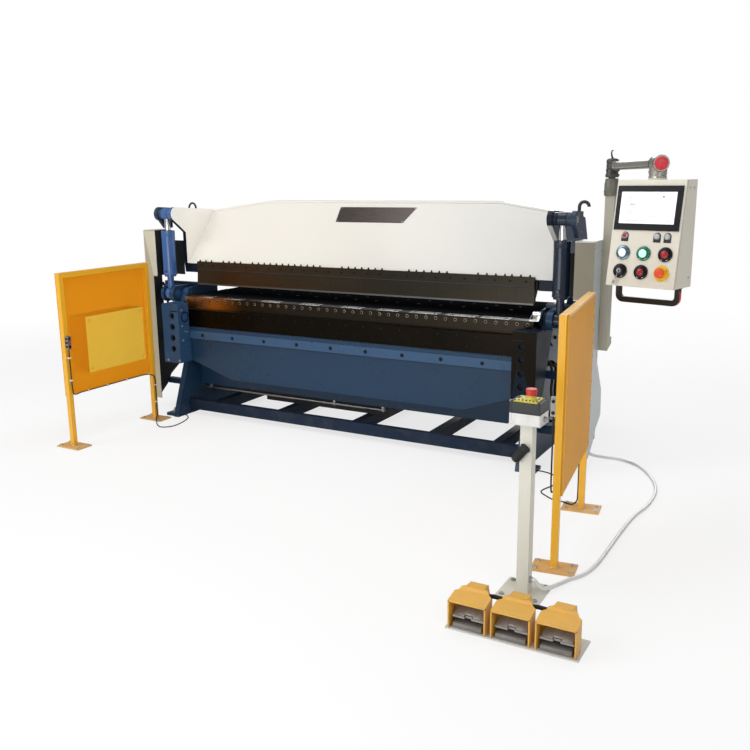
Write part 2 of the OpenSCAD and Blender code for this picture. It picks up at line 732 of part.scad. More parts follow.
module guard_cable_right() {
  a = [for (p = [[-11, 16, 664], [-11, 16, 560], [-11, 16, 430], [-10, 18, 345],
    [-6, 40, 331], [14, 72, 328], [23, 130, 327], [23, 300, 327], [23, 480, 327], [23, 620, 327],
    [12, 680, 324], [-3, 708, 314], [-5, 735, 290], [-5, 738, 180], [-5, 738, 80], [-9, 738, 36],
    [-34, 744, 13], [-84, 764, 13], [-124, 790, 4.5]]) on_right(p)];
  color("#151617") tube(curve(concat(a, [[1520, -900, 4.5], [1470, -840, 4.5], [1500, -720, 4.5],
    [1500, -620, 4.5], [1430, -568, 9],
    [fx1 + 105, -560, 12], [fx1 + 90, -560, 12], [fx1 + 75.1, -560, 12]]), 3), 3.5, 8);
}

side_frame_left();
side_frame_right();
lower_bed();
lower_blade();
rear_table();
bed_pipe();
base_ladder();
oil_tank();
side_cover_left();
side_cover_right();
folding_beam();
folding_blade();
blade_holder();
swing_arm_left();
swing_arm_right();
clamp_beam();
clamp_tool();
beam_ears();
lifting_hooks();
cylinder_barrel_left();
cylinder_barrel_right();
cylinder_rod_left();
cylinder_rod_right();
pendant_column();
pendant_arm();
pendant_box();
pendant_panel();
pendant_handle();
pendant_stop();
guard_frame_left();
guard_panel_left();
guard_cabinet();
guard_sensor_left();
guard_frame_right();
guard_panel_right();
guard_sensor_right();
stand_post();
stand_box();
stand_stop();
stand_grip();
pedal_base();
pedal_hoods();
treadle_left();
treadle_middle();
treadle_right();
conduit();
guard_cable_left();
guard_cable_right();
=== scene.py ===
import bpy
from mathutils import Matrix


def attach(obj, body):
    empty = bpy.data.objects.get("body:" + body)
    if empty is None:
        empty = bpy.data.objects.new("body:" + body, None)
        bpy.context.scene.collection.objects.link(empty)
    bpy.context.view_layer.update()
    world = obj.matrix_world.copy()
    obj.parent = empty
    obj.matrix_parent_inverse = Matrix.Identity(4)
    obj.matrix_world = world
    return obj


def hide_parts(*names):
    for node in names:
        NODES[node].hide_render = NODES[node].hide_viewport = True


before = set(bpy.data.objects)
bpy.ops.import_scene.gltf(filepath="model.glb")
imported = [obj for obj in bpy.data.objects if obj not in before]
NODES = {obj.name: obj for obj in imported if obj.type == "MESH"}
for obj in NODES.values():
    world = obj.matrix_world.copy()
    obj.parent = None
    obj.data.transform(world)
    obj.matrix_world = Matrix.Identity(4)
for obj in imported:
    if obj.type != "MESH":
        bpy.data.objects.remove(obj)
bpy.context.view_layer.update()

from math import atan, cos, pi, radians, sin, tan

import bmesh
import bpy
from mathutils import Matrix, Vector

DATA = bpy.data
MM = 0.001

# shared dimensions in millimetres and radians
TABLE_Z = 832                           # table top and folding line
HINGE_Y = -334                          # folding line
PIVOT_Y, PIVOT_Z = 370, 880             # rear pivots of the clamping beam
CYL_X, CYL_Y = 1402, -408               # axes of the clamping cylinders
LOW_PIN_Z, TOP_PIN_Z = 838, 1388        # pins of the cylinders
BLADE_Y, HOLE_Z = -431, 806             # front of the folding blade, row of its holes
HOLDER_Y, LEDGE_Y = -465, -483          # fronts of the blade holder and of the ledge below it
BLOCK_Y = -588                          # front of the swing blocks
TOOL_X = 1224                           # half the length of the tool
COLUMN_X, COLUMN_Y = 1617, -277         # axis of the pendant column
ARM_ANGLE, ARM_LENGTH, ARM_Z = radians(-63.2), 871, 1662
SWIVEL_X, SWIVEL_Y = COLUMN_X + ARM_LENGTH * cos(ARM_ANGLE), COLUMN_Y + ARM_LENGTH * sin(ARM_ANGLE)
STAND_X, STAND_Y, STOP_X = 1770, -1949, 1778
GUARD_X, GUARD_Y = -1375, -1428         # outer front corner of the left guard
RIGHT_X, RIGHT_Y = 1798, -1705          # outer front corner of the right guard
RIGHT_TURN = radians(7.2)
PEDAL_X, PEDAL_Y, PEDAL_PITCH = 1611, -2351, 166
SIDES = (("left", -1), ("right", 1))
CORNERS = [(s, t) for s in (-1, 1) for t in (-1, 1)]

# camera
yaw, pitch, roll = radians(-29.36), radians(-12.87), radians(-0.63)
ahead = Vector((sin(yaw) * cos(pitch), cos(yaw) * cos(pitch), sin(pitch)))
level = Vector((cos(yaw), -sin(yaw), 0))
above = level.cross(ahead)
right = level * cos(roll) + above * sin(roll)
up = above * cos(roll) - level * sin(roll)
lens = DATA.cameras.new("camera")
lens.sensor_width = 36
lens.lens = 36 * 860.7 / 750
lens.clip_start = 0.05
lens.clip_end = 100
camera = DATA.objects.new("camera", lens)
pose = Matrix((right, up, -ahead)).transposed().to_4x4()
pose.translation = Vector((2.8063, -4.9789, 1.6121))
camera.matrix_world = pose
bpy.context.scene.collection.objects.link(camera)
bpy.context.scene.camera = camera


# materials
MATERIALS = {}


def new_mat(name):
    mat = DATA.materials.new(name)
    MATERIALS[name] = mat
    mat.use_nodes = True
    tree = mat.node_tree
    return tree, tree.nodes["Principled BSDF"]


def put(node, **values):
    """Sets inputs of a node by name, with _ for a space."""
    for key, value in values.items():
        node.inputs[key.replace("_", " ")].default_value = value
    return node


def shader(tree, kind, **values):
    return put(tree.nodes.new("ShaderNode" + kind), **values)


def coords(tree, scale=(1, 1, 1)):
    texture = shader(tree, "TexCoord")
    mapping = shader(tree, "Mapping", Scale=scale)
    tree.links.new(texture.outputs["Object"], mapping.inputs["Vector"])
    return mapping.outputs["Vector"]


def noise(tree, vec, scale, detail=3, rough=0.55):
    n = shader(tree, "TexNoise", Scale=scale, Detail=detail, Roughness=rough)
    tree.links.new(vec, n.inputs["Vector"])
    return n.outputs["Fac"]


def ramp(tree, fac, stops):
    r = shader(tree, "ValToRGB")
    elements = r.color_ramp.elements
    while len(elements) < len(stops):
        elements.new(0.5)
    for e, (pos, col) in zip(elements, stops):
        e.position = pos
        e.color = (*col, 1) if len(col) == 3 else col
    tree.links.new(fac, r.inputs["Fac"])
    return r.outputs["Color"]


def mix(tree, fac, a, b, mode="MIX"):
    mixer = shader(tree, "Mix")
    mixer.data_type = "RGBA"
    mixer.blend_type = mode
    for sock, val in ((mixer.inputs[0], fac), (mixer.inputs[6], a), (mixer.inputs[7], b)):
        if isinstance(val, (int, float)):
            sock.default_value = val
        elif isinstance(val, tuple):
            sock.default_value = (*val, 1)
        else:
            tree.links.new(val, sock)
    return mixer.outputs[2]


def bumpy(tree, bsdf, height, strength=0.1, dist=0.001, bevel=0.0):
    b = shader(tree, "Bump", Strength=strength, Distance=dist)
    tree.links.new(height, b.inputs["Height"])
    if bevel:
        rounded = shader(tree, "Bevel", Radius=bevel)
        rounded.samples = 4
        tree.links.new(rounded.outputs["Normal"], b.inputs["Normal"])
    tree.links.new(b.outputs["Normal"], bsdf.inputs["Normal"])


def toned(col, f):
    return tuple(min(1.0, c * f) for c in col)


def fade_along_x(tree, vec, base, x0, x1, col):
    """The tone changes smoothly along the machine's length: painted shade on the white plate and the tool,
    painted light on the folding blade.
    """
    sep = shader(tree, "SeparateXYZ")
    tree.links.new(vec, sep.inputs[0])
    fade = shader(tree, "MapRange", From_Min=x0, From_Max=x1)
    fade.interpolation_type = "SMOOTHSTEP"
    tree.links.new(sep.outputs["X"], fade.inputs["Value"])
    return mix(tree, fade.outputs[0], base, col)


def paint(name, col, rough=0.35, vary=0.05, grime=0.2, peel=0.05, bevel=0.0015, coat=0.0, worn=None,
          spec=None, grade=None, mottle=True):
    """Sprayed paint: slight mottle, orange peel, dusty lower parts, rubbed edges."""
    tree, bsdf = new_mat(name)
    vec = coords(tree)
    base = ramp(tree, noise(tree, vec, 0.9, 3),
                [(0.3, toned(col, 1 - vary)), (0.7, toned(col, 1 + vary))])
    if mottle:
        fine = ramp(tree, noise(tree, vec, 46, 4, 0.6),
                    [(0.35, (1, 1, 1)), (0.68, (0.965, 0.965, 0.965))])
        base = mix(tree, 0.6, base, fine, "MULTIPLY")
    if grade:
        base = fade_along_x(tree, vec, base, *grade)
    if grime:
        axes = shader(tree, "SeparateXYZ")
        tree.links.new(vec, axes.inputs[0])
        low = shader(tree, "MapRange", From_Min=0.22, From_Max=0.0, To_Max=grime)
        tree.links.new(axes.outputs["Z"], low.inputs["Value"])
        spots = ramp(tree, noise(tree, vec, 9, 5, 0.7), [(0.45, (0, 0, 0)), (0.7, (1, 1, 1))])
        dirt = mix(tree, low.outputs[0], (0, 0, 0), spots)
        base = mix(tree, dirt, base, (0.21, 0.19, 0.16))
    if worn:
        rounded = shader(tree, "Bevel", Radius=0.0035)
        rounded.samples = 4
        geometry = shader(tree, "NewGeometry")
        bend = shader(tree, "VectorMath")
        bend.operation = "DOT_PRODUCT"
        tree.links.new(rounded.outputs["Normal"], bend.inputs[0])
        tree.links.new(geometry.outputs["Normal"], bend.inputs[1])
        edge = ramp(tree, bend.outputs["Value"], [(0.86, (1, 1, 1)), (0.97, (0, 0, 0))])
        rubbed = mix(tree, ramp(tree, noise(tree, vec, 16, 4),
                                [(0.5, (0, 0, 0)), (0.66, (0.8, 0.8, 0.8))]), (0, 0, 0), edge)
        base = mix(tree, rubbed, base, worn)
    tree.links.new(base, bsdf.inputs["Base Color"])
    if mottle:
        varied = ramp(tree, noise(tree, vec, 7, 3),
                      [(0.3, (rough - 0.04,) * 3), (0.7, (rough + 0.05,) * 3)])
        tree.links.new(varied, bsdf.inputs["Roughness"])
    else:
        bsdf.inputs["Roughness"].default_value = rough
    bumpy(tree, bsdf, noise(tree, vec, 260, 2), peel, 0.0006, bevel)
    if coat:
        put(bsdf, Coat_Weight=coat, Coat_Roughness=0.12)
    if spec is not None:
        bsdf.inputs["Specular IOR Level"].default_value = spec


def steel(name, col, rough=0.3, streak=(1, 60, 60), tint=None, bevel=0.0008, contrast=0.15, metal=1.0,
          grade=None):
    """Ground or drawn steel: fine streaks along one axis, oil stains, painted light and shade changing
    along the length.
    """
    tree, bsdf = new_mat(name)
    vec = coords(tree, streak)
    even = coords(tree)
    base = ramp(tree, noise(tree, vec, 9.0, 4, 0.6),
                [(0.25, toned(col, 1 - contrast)), (0.75, toned(col, 1 + contrast))])
    if tint:
        stains = ramp(tree, noise(tree, even, 1.6, 3, 0.5), [(0.4, (0, 0, 0)), (0.7, (1, 1, 1))])
        base = mix(tree, stains, base, tint)
    if grade:
        base = fade_along_x(tree, even, base, *grade)
    tree.links.new(base, bsdf.inputs["Base Color"])
    bsdf.inputs["Metallic"].default_value = metal
    varied = ramp(tree, noise(tree, vec, 14, 3),
                  [(0.3, (max(0.05, rough - 0.05),) * 3), (0.7, (rough + 0.07,) * 3)])
    tree.links.new(varied, bsdf.inputs["Roughness"])
    bumpy(tree, bsdf, noise(tree, vec, 60, 2), 0.06, 0.0003, bevel)


def plastic(name, col, rough=0.45, grain=0.1, emit=0.0, spec=0.4):
    tree, bsdf = new_mat(name)
    vec = coords(tree)
    base = ramp(tree, noise(tree, vec, 30, 3), [(0.3, toned(col, 0.9)), (0.7, toned(col, 1.08))])
    tree.links.new(base, bsdf.inputs["Base Color"])
    put(bsdf, Roughness=rough, Specular_IOR_Level=spec)
    bumpy(tree, bsdf, noise(tree, vec, 900, 2), grain, 0.0003)
    if emit:
        put(bsdf, Emission_Color=(*col, 1), Emission_Strength=emit)


paint("frame_blue", (0.013, 0.041, 0.088), 0.30, 0.06, 0.2, 0.03, worn=(0.06, 0.085, 0.13), spec=0.28)
# darker copy of arm_blue for the right swing arm: painted shade
paint("arm_blue_painted_shade", (0.0045, 0.011, 0.026), 0.4, 0.08, 0, 0.03, worn=(0.025, 0.035, 0.055), spec=0.1)
paint("ladder_blue", (0.008, 0.019, 0.044), 0.38, 0.08, 0.15, 0.04, worn=(0.04, 0.055, 0.08), spec=0.2)
paint("arm_blue", (0.028, 0.078, 0.175), 0.32, 0.06, 0.15, 0.04, worn=(0.08, 0.13, 0.21), spec=0.3)
paint("ear_blue", (0.028, 0.046, 0.085), 0.36, 0.08, 0, 0.05, worn=(0.10, 0.13, 0.18), spec=0.3)
paint("cylinder_blue", (0.045, 0.118, 0.31), 0.22, 0.04, 0, 0.02, coat=0.25, spec=0.4)
# darker copy of cylinder_blue for the right cylinder: painted shade
paint("cylinder_blue_painted_shade", (0.010, 0.020, 0.042), 0.24, 0.06, 0, 0.02, coat=0.2, spec=0.35)
# navy for the arm edges, and painted shadow on the lower cheeks of the beam
paint("navy_edge_and_painted_shade", (0.006, 0.012, 0.026), 0.4, 0.08, 0, 0.04, spec=0.2)
# near black for the lower blade and rear table: painted shade in the mouth of the beam
paint("mouth_painted_shade", (0.013, 0.014, 0.016), 0.5, 0.1, 0, 0.04, spec=0.0)
# the white plate greys towards the right end: painted shade
paint("white_paint", (0.80, 0.765, 0.69), 0.24, 0.015, 0, 0.02, 0.002, coat=0.2,
      grade=(-0.7, 1.25, (0.56, 0.55, 0.52)), mottle=False)
# lighter copy of the white paint for the left arm's inner face: painted light
paint("white_cheek_painted_light", (0.94, 0.915, 0.85), 0.3, 0.01, 0, 0.02, 0.002, mottle=False)
paint("ledge_blue", (0.034, 0.086, 0.175), 0.3, 0.06, 0, 0.03, worn=(0.08, 0.13, 0.21), spec=0.3)
paint("cream_paint", (0.62, 0.58, 0.46), 0.36, 0.03, 0.12, 0.03, coat=0.1)
paint("column_cream", (0.42, 0.40, 0.32), 0.4, 0.03, 0, 0.03)
paint("box_cream", (0.74, 0.70, 0.60), 0.34, 0.02, 0, 0.03, coat=0.1)
paint("pole_cream", (0.68, 0.665, 0.58), 0.38, 0.03, 0.15, 0.03)
# darker brownish copy for the front face of the right cover: painted shade
paint("cover_front_painted_shade", (0.23, 0.205, 0.145), 0.42, 0.04, 0, 0.03)
paint("flange_tan", (0.46, 0.41, 0.30), 0.42, 0.04, 0.1, 0.03)
# near black for the insides of the covers, the vent slots and the gaps of the tool: painted shade
paint("painted_shade_dark", (0.016, 0.018, 0.022), 0.6, 0.1, 0, 0.05)
paint("cabinet_paint", (0.80, 0.74, 0.56), 0.42, 0.03, 0, 0.03)
# the cabinet face behind the amber sheet glows: painted light
plastic("cabinet_painted_glow", (0.80, 0.86, 0.80), 0.5, 0.05)
put(MATERIALS["cabinet_painted_glow"].node_tree.nodes["Principled BSDF"], Emission_Color=(0.45, 0.95, 1.0, 1),
    Emission_Strength=0.8)
paint("base_pale", (0.60, 0.59, 0.56), 0.4, 0.04, 0, 0.04)
paint("pale_paint", (0.54, 0.575, 0.575), 0.32, 0.03, 0.12, 0.03, coat=0.1)
paint("safety_yellow", (0.84, 0.43, 0.020), 0.33, 0.04, 0.15, 0.04, coat=0.25, worn=(0.62, 0.40, 0.12))
paint("foot_yellow", (0.72, 0.40, 0.12), 0.42, 0.06, 0.25, 0.05)
paint("hood_yellow", (0.74, 0.40, 0.060), 0.42, 0.06, 0.25, 0.16, 0.002, worn=(0.52, 0.36, 0.14))
# the tool darkens towards the right end: painted shade
steel("tool_steel", (0.075, 0.048, 0.026), 0.32, (0.6, 26, 26), (0.055, 0.042, 0.027), contrast=0.14,
      grade=(-0.9, 0.5, (0.037, 0.033, 0.025)))
# the folding blade is orange only at its left end and dark beyond: painted orange light
steel("blade_steel_painted_light", (0.46, 0.19, 0.060), 0.30, (0.6, 26, 26), None, contrast=0.14,
      grade=(-1.14, -0.74, (0.027, 0.022, 0.016)))
steel("bright_steel", (0.74, 0.73, 0.71), 0.24, (20, 3, 3), contrast=0.08)
steel("dark_steel", (0.010, 0.008, 0.006), 0.36, (0.6, 26, 26), (0.014, 0.011, 0.008), contrast=0.15)
steel("grey_steel", (0.13, 0.13, 0.125), 0.34, (0.8, 30, 30), (0.09, 0.085, 0.075), contrast=0.12)
steel("rim_steel", (0.34, 0.31, 0.26), 0.3, (20, 20, 20), contrast=0.1)
steel("black_oxide", (0.018, 0.018, 0.019), 0.38, (20, 20, 20), contrast=0.2)
steel("chrome_rod", (0.82, 0.83, 0.85), 0.07, (4, 4, 60), contrast=0.03)
steel("plate_steel", (0.46, 0.46, 0.455), 0.34, (30, 30, 3), (0.36, 0.355, 0.34), contrast=0.08)
paint("dark_paint", (0.022, 0.024, 0.028), 0.4, 0.1, 0.2)
steel("arm_metal", (0.40, 0.385, 0.34), 0.30, (3, 40, 40), contrast=0.06)
steel("coupling_metal", (0.52, 0.50, 0.45), 0.28, (30, 30, 3), contrast=0.08)
paint("socket_grey", (0.15, 0.140, 0.115), 0.38, 0.05, 0, 0.05)
paint("elbow_dark", (0.060, 0.058, 0.050), 0.34, 0.05, 0, 0.05)
plastic("black_plastic", (0.012, 0.012, 0.013), 0.34, 0.1)
plastic("bezel_black", (0.006, 0.006, 0.008), 0.30, 0.02, spec=0.2)
plastic("red_plastic", (0.56, 0.030, 0.020), 0.3)
plastic("cap_red", (0.66, 0.045, 0.06), 0.32)
plastic("orange_red", (0.80, 0.075, 0.012), 0.32)
plastic("yellow_plastic", (0.88, 0.55, 0.03), 0.35)
plastic("label_yellow", (0.66, 0.60, 0.10), 0.4)
plastic("white_plastic", (0.72, 0.71, 0.69), 0.4)
plastic("lid_black", (0.022, 0.026, 0.026), 0.42)
plastic("black_rubber", (0.015, 0.015, 0.015), 0.55, 0.3)
plastic("cable_rubber", (0.012, 0.012, 0.012), 0.45, 0.1)
plastic("clip_white", (0.70, 0.68, 0.62), 0.45)
plastic("screen_white", (0.86, 0.89, 0.92), 0.12, 0.0, 0.42)
plastic("mark_grey", (0.10, 0.11, 0.13), 0.3, 0.0)
plastic("lamp_white", (0.78, 0.86, 0.90), 0.2, 0.0, 0.35)
plastic("lamp_silver", (0.42, 0.47, 0.50), 0.2, 0.0, 0.1)
steel("ring_blue", (0.13, 0.20, 0.25), 0.25, (20, 20, 20), contrast=0.1)
plastic("lamp_green", (0.010, 0.16, 0.085), 0.25, 0.0, 0.05)
plastic("lamp_mint", (0.52, 0.88, 0.74), 0.2, 0.0, 0.35)
plastic("lamp_red", (0.36, 0.020, 0.018), 0.22)
plastic("led_red", (0.75, 0.02, 0.03), 0.2, 0.0, 0.6)
steel("tread_aluminium", (0.34, 0.32, 0.30), 0.5, (14, 14, 14), contrast=0.1, metal=0.7)
steel("tread_dark", (0.22, 0.21, 0.20), 0.55, (14, 14, 14), contrast=0.12, metal=0.6)
steel("anchor_zinc", (0.60, 0.60, 0.58), 0.36, (30, 30, 30), contrast=0.08)


def amber(name, col, rough, tint=None, keep=0.4, spec=0.3):
    """Acrylic sheet: tint lets the light through, keep is the share of the solid surface."""
    tree, bsdf = new_mat(name)
    vec = coords(tree)
    base = ramp(tree, noise(tree, vec, 2.2, 3), [(0.3, toned(col, 0.95)), (0.7, toned(col, 1.04))])
    tree.links.new(base, bsdf.inputs["Base Color"])
    put(bsdf, Roughness=rough, IOR=1.2, Specular_IOR_Level=spec)
    bumpy(tree, bsdf, noise(tree, vec, 3, 2), 0.03, 0.002)
    if tint:
        clear = shader(tree, "BsdfTransparent", Color=(*tint, 1))
        mixer = shader(tree, "MixShader")
        mixer.inputs[0].default_value = keep
        tree.links.new(clear.outputs[0], mixer.inputs[1])
        tree.links.new(bsdf.outputs[0], mixer.inputs[2])
        tree.links.new(mixer.outputs[0], tree.nodes["Material Output"].inputs["Surface"])


amber("amber_sheet", (0.84, 0.39, 0.020), 0.12, (0.92, 0.56, 0.10), 0.36)
amber("amber_solid", (0.78, 0.35, 0.020), 0.38, spec=0.15)


def conduit_mat():
    tree, bsdf = new_mat("conduit_metal")
    vec = coords(tree)
    base = ramp(tree, noise(tree, vec, 8, 3), [(0.3, (0.72, 0.72, 0.71)), (0.7, (0.88, 0.88, 0.87))])
    tree.links.new(base, bsdf.inputs["Base Color"])
    put(bsdf, Metallic=0.3, Roughness=0.35)
    bumpy(tree, bsdf, noise(tree, vec, 400, 2), 0.1, 0.0004)


conduit_mat()

use = {
    "frame_blue": "side_frame_left side_frame_right lower_bed folding_beam",
    # lower blade and rear table painted near black: painted shade in the mouth
    "mouth_painted_shade": "lower_blade rear_table",
    "plate_steel": "bed_pipe guard_sensor_left guard_sensor_right",
    "ladder_blue": "base_ladder",
    "dark_paint": "oil_tank lifting_hooks",
    "cream_paint": "side_cover_left",
    "pale_paint": "side_cover_right",
    # folding blade: its orange left end is painted light
    "blade_steel_painted_light": "folding_blade",
    "dark_steel": "blade_holder",
    "arm_blue": "swing_arm_left",
    # the right swing arm takes the darker copy of its blue: painted shade
    "arm_blue_painted_shade": "swing_arm_right",
    "white_paint": "clamp_beam",
    "tool_steel": "clamp_tool",
    "ear_blue": "beam_ears",
    "cylinder_blue": "cylinder_barrel_left",
    # the right barrel takes the darker copy of the blue: painted shade
    "cylinder_blue_painted_shade": "cylinder_barrel_right",
    "chrome_rod": "cylinder_rod_left cylinder_rod_right",
    "column_cream": "pendant_column",
    "arm_metal": "pendant_arm",
    "box_cream": "pendant_box",
    "bezel_black": "pendant_panel",
    "black_plastic": "pendant_handle",
    "orange_red": "pendant_stop",
    "safety_yellow": "guard_frame_left guard_frame_right",
    "amber_sheet": "guard_panel_left",
    "cabinet_paint": "guard_cabinet",
    "amber_solid": "guard_panel_right",
    "pole_cream": "stand_post",
    "white_plastic": "stand_box",
    "red_plastic": "stand_stop",
    "black_rubber": "stand_grip",
    "base_pale": "pedal_base",
    "hood_yellow": "pedal_hoods",
    "tread_aluminium": "treadle_left treadle_middle treadle_right",
}
for name, wearers in use.items():
    for node in wearers.split():
        o = NODES[node]
        o.data.materials.clear()
        o.data.materials.append(MATERIALS[name])


def zones(node, names, pick):
    """Further paints on one node, some of them painted light and shade: pick(centre in mm, normal) gives
    the number of the paint.
    """
    mesh = NODES[node].data
    for extra in names:
        mesh.materials.append(MATERIALS[extra])
    world = NODES[node].matrix_world
    for face in mesh.polygons:
        face.material_index = pick((world @ face.center) * 1000, world.to_3x3() @ face.normal)


def pick_beam(c, n):
    # lower cheeks at both ends take the navy: painted shadow
    if abs(c.x) > 1238 and c.z < 1045:
        return 1
    # inner face of the left arm takes the lighter white: painted light
    if c.x < -1322 and n.x > 0.9 and c.z > 1100:
        return 4
    if abs(c.x) < 1323.4:
        return 2 if c.y > 149 or c.z < 1001 and n.z < -0.5 else 0
    nose = (c.y - CYL_Y) ** 2 + (c.z - TOP_PIN_Z) ** 2 < 52 ** 2
    if nose and c.x < 0:
        return 3
    if c.x < 0 and n.y < -0.25:
        return 1
    return 2 if abs(n.x) > 0.9 else 1 if n.y < -0.25 and nose else 0


def pick_cover_left(c, n):
    # inner faces and the rear of the cover are painted near black: painted shade
    if n.x > 0.5 or c.y > -300 and n.y < -0.5 or abs(c.y + 297) < 3 and c.x > -1480:
        return 2
    return 1 if n.y < -0.5 and c.z < 962 else 0


def pick_cover_right(c, n):
    # inner faces and the rear of the cover are painted near black: painted shade
    if n.x < -0.5 or abs(c.y + 297) < 3 and c.x < 1480:
        return 2
    # front faces take the darker tan: painted shade
    return 1 if n.y < -0.5 else 0


def pick_stand(c, n):
    if c.z > 790.5 or c.z > 789 and abs(c.x - STAND_X) < 47:
        return 2
    return 1 if c.z > 744.9 else 0


def pick_right_arm(c, n):
    return 1 if n.y < -0.5 and c.z > 560 and c.y < -560 else 0


def pick_arm(c, n):
    if (c.x - COLUMN_X) ** 2 + (c.y - COLUMN_Y) ** 2 < 36 ** 2:
        return 1
    return 2 if c.z < 1655 or (c.x - SWIVEL_X) ** 2 + (c.y - SWIVEL_Y) ** 2 < 30 ** 2 else 0


zones("clamp_beam", ["navy_edge_and_painted_shade", "frame_blue", "cylinder_blue", "white_cheek_painted_light"], pick_beam)
zones("cylinder_rod_left", ["cylinder_blue"], lambda c, n: 1 if c.z > 1343 else 0)
# the painted end of the right rod takes the darker blue: painted shade
zones("cylinder_rod_right", ["cylinder_blue_painted_shade"], lambda c, n: 1 if c.z > 1343 else 0)
zones("side_cover_left", ["flange_tan", "painted_shade_dark"], pick_cover_left)
zones("side_cover_right", ["cover_front_painted_shade", "painted_shade_dark"], pick_cover_right)
zones("stand_box", ["lid_black", "label_yellow"], pick_stand)
for g in ("guard_frame_left", "guard_frame_right"):
    zones(g, ["foot_yellow"], lambda c, n: 1 if c.z < 8.5 else 0)
# the cabinet face behind the amber sheet takes the glowing paint: painted light
zones("guard_cabinet", ["cabinet_painted_glow"], lambda c, n: 1 if n.x > 0.5 else 0)
zones("swing_arm_right", ["dark_steel"], pick_right_arm)
zones("pendant_column", ["socket_grey"], lambda c, n: 1 if c.z > 1509 else 0)
zones("pendant_arm", ["elbow_dark", "coupling_metal"], pick_arm)


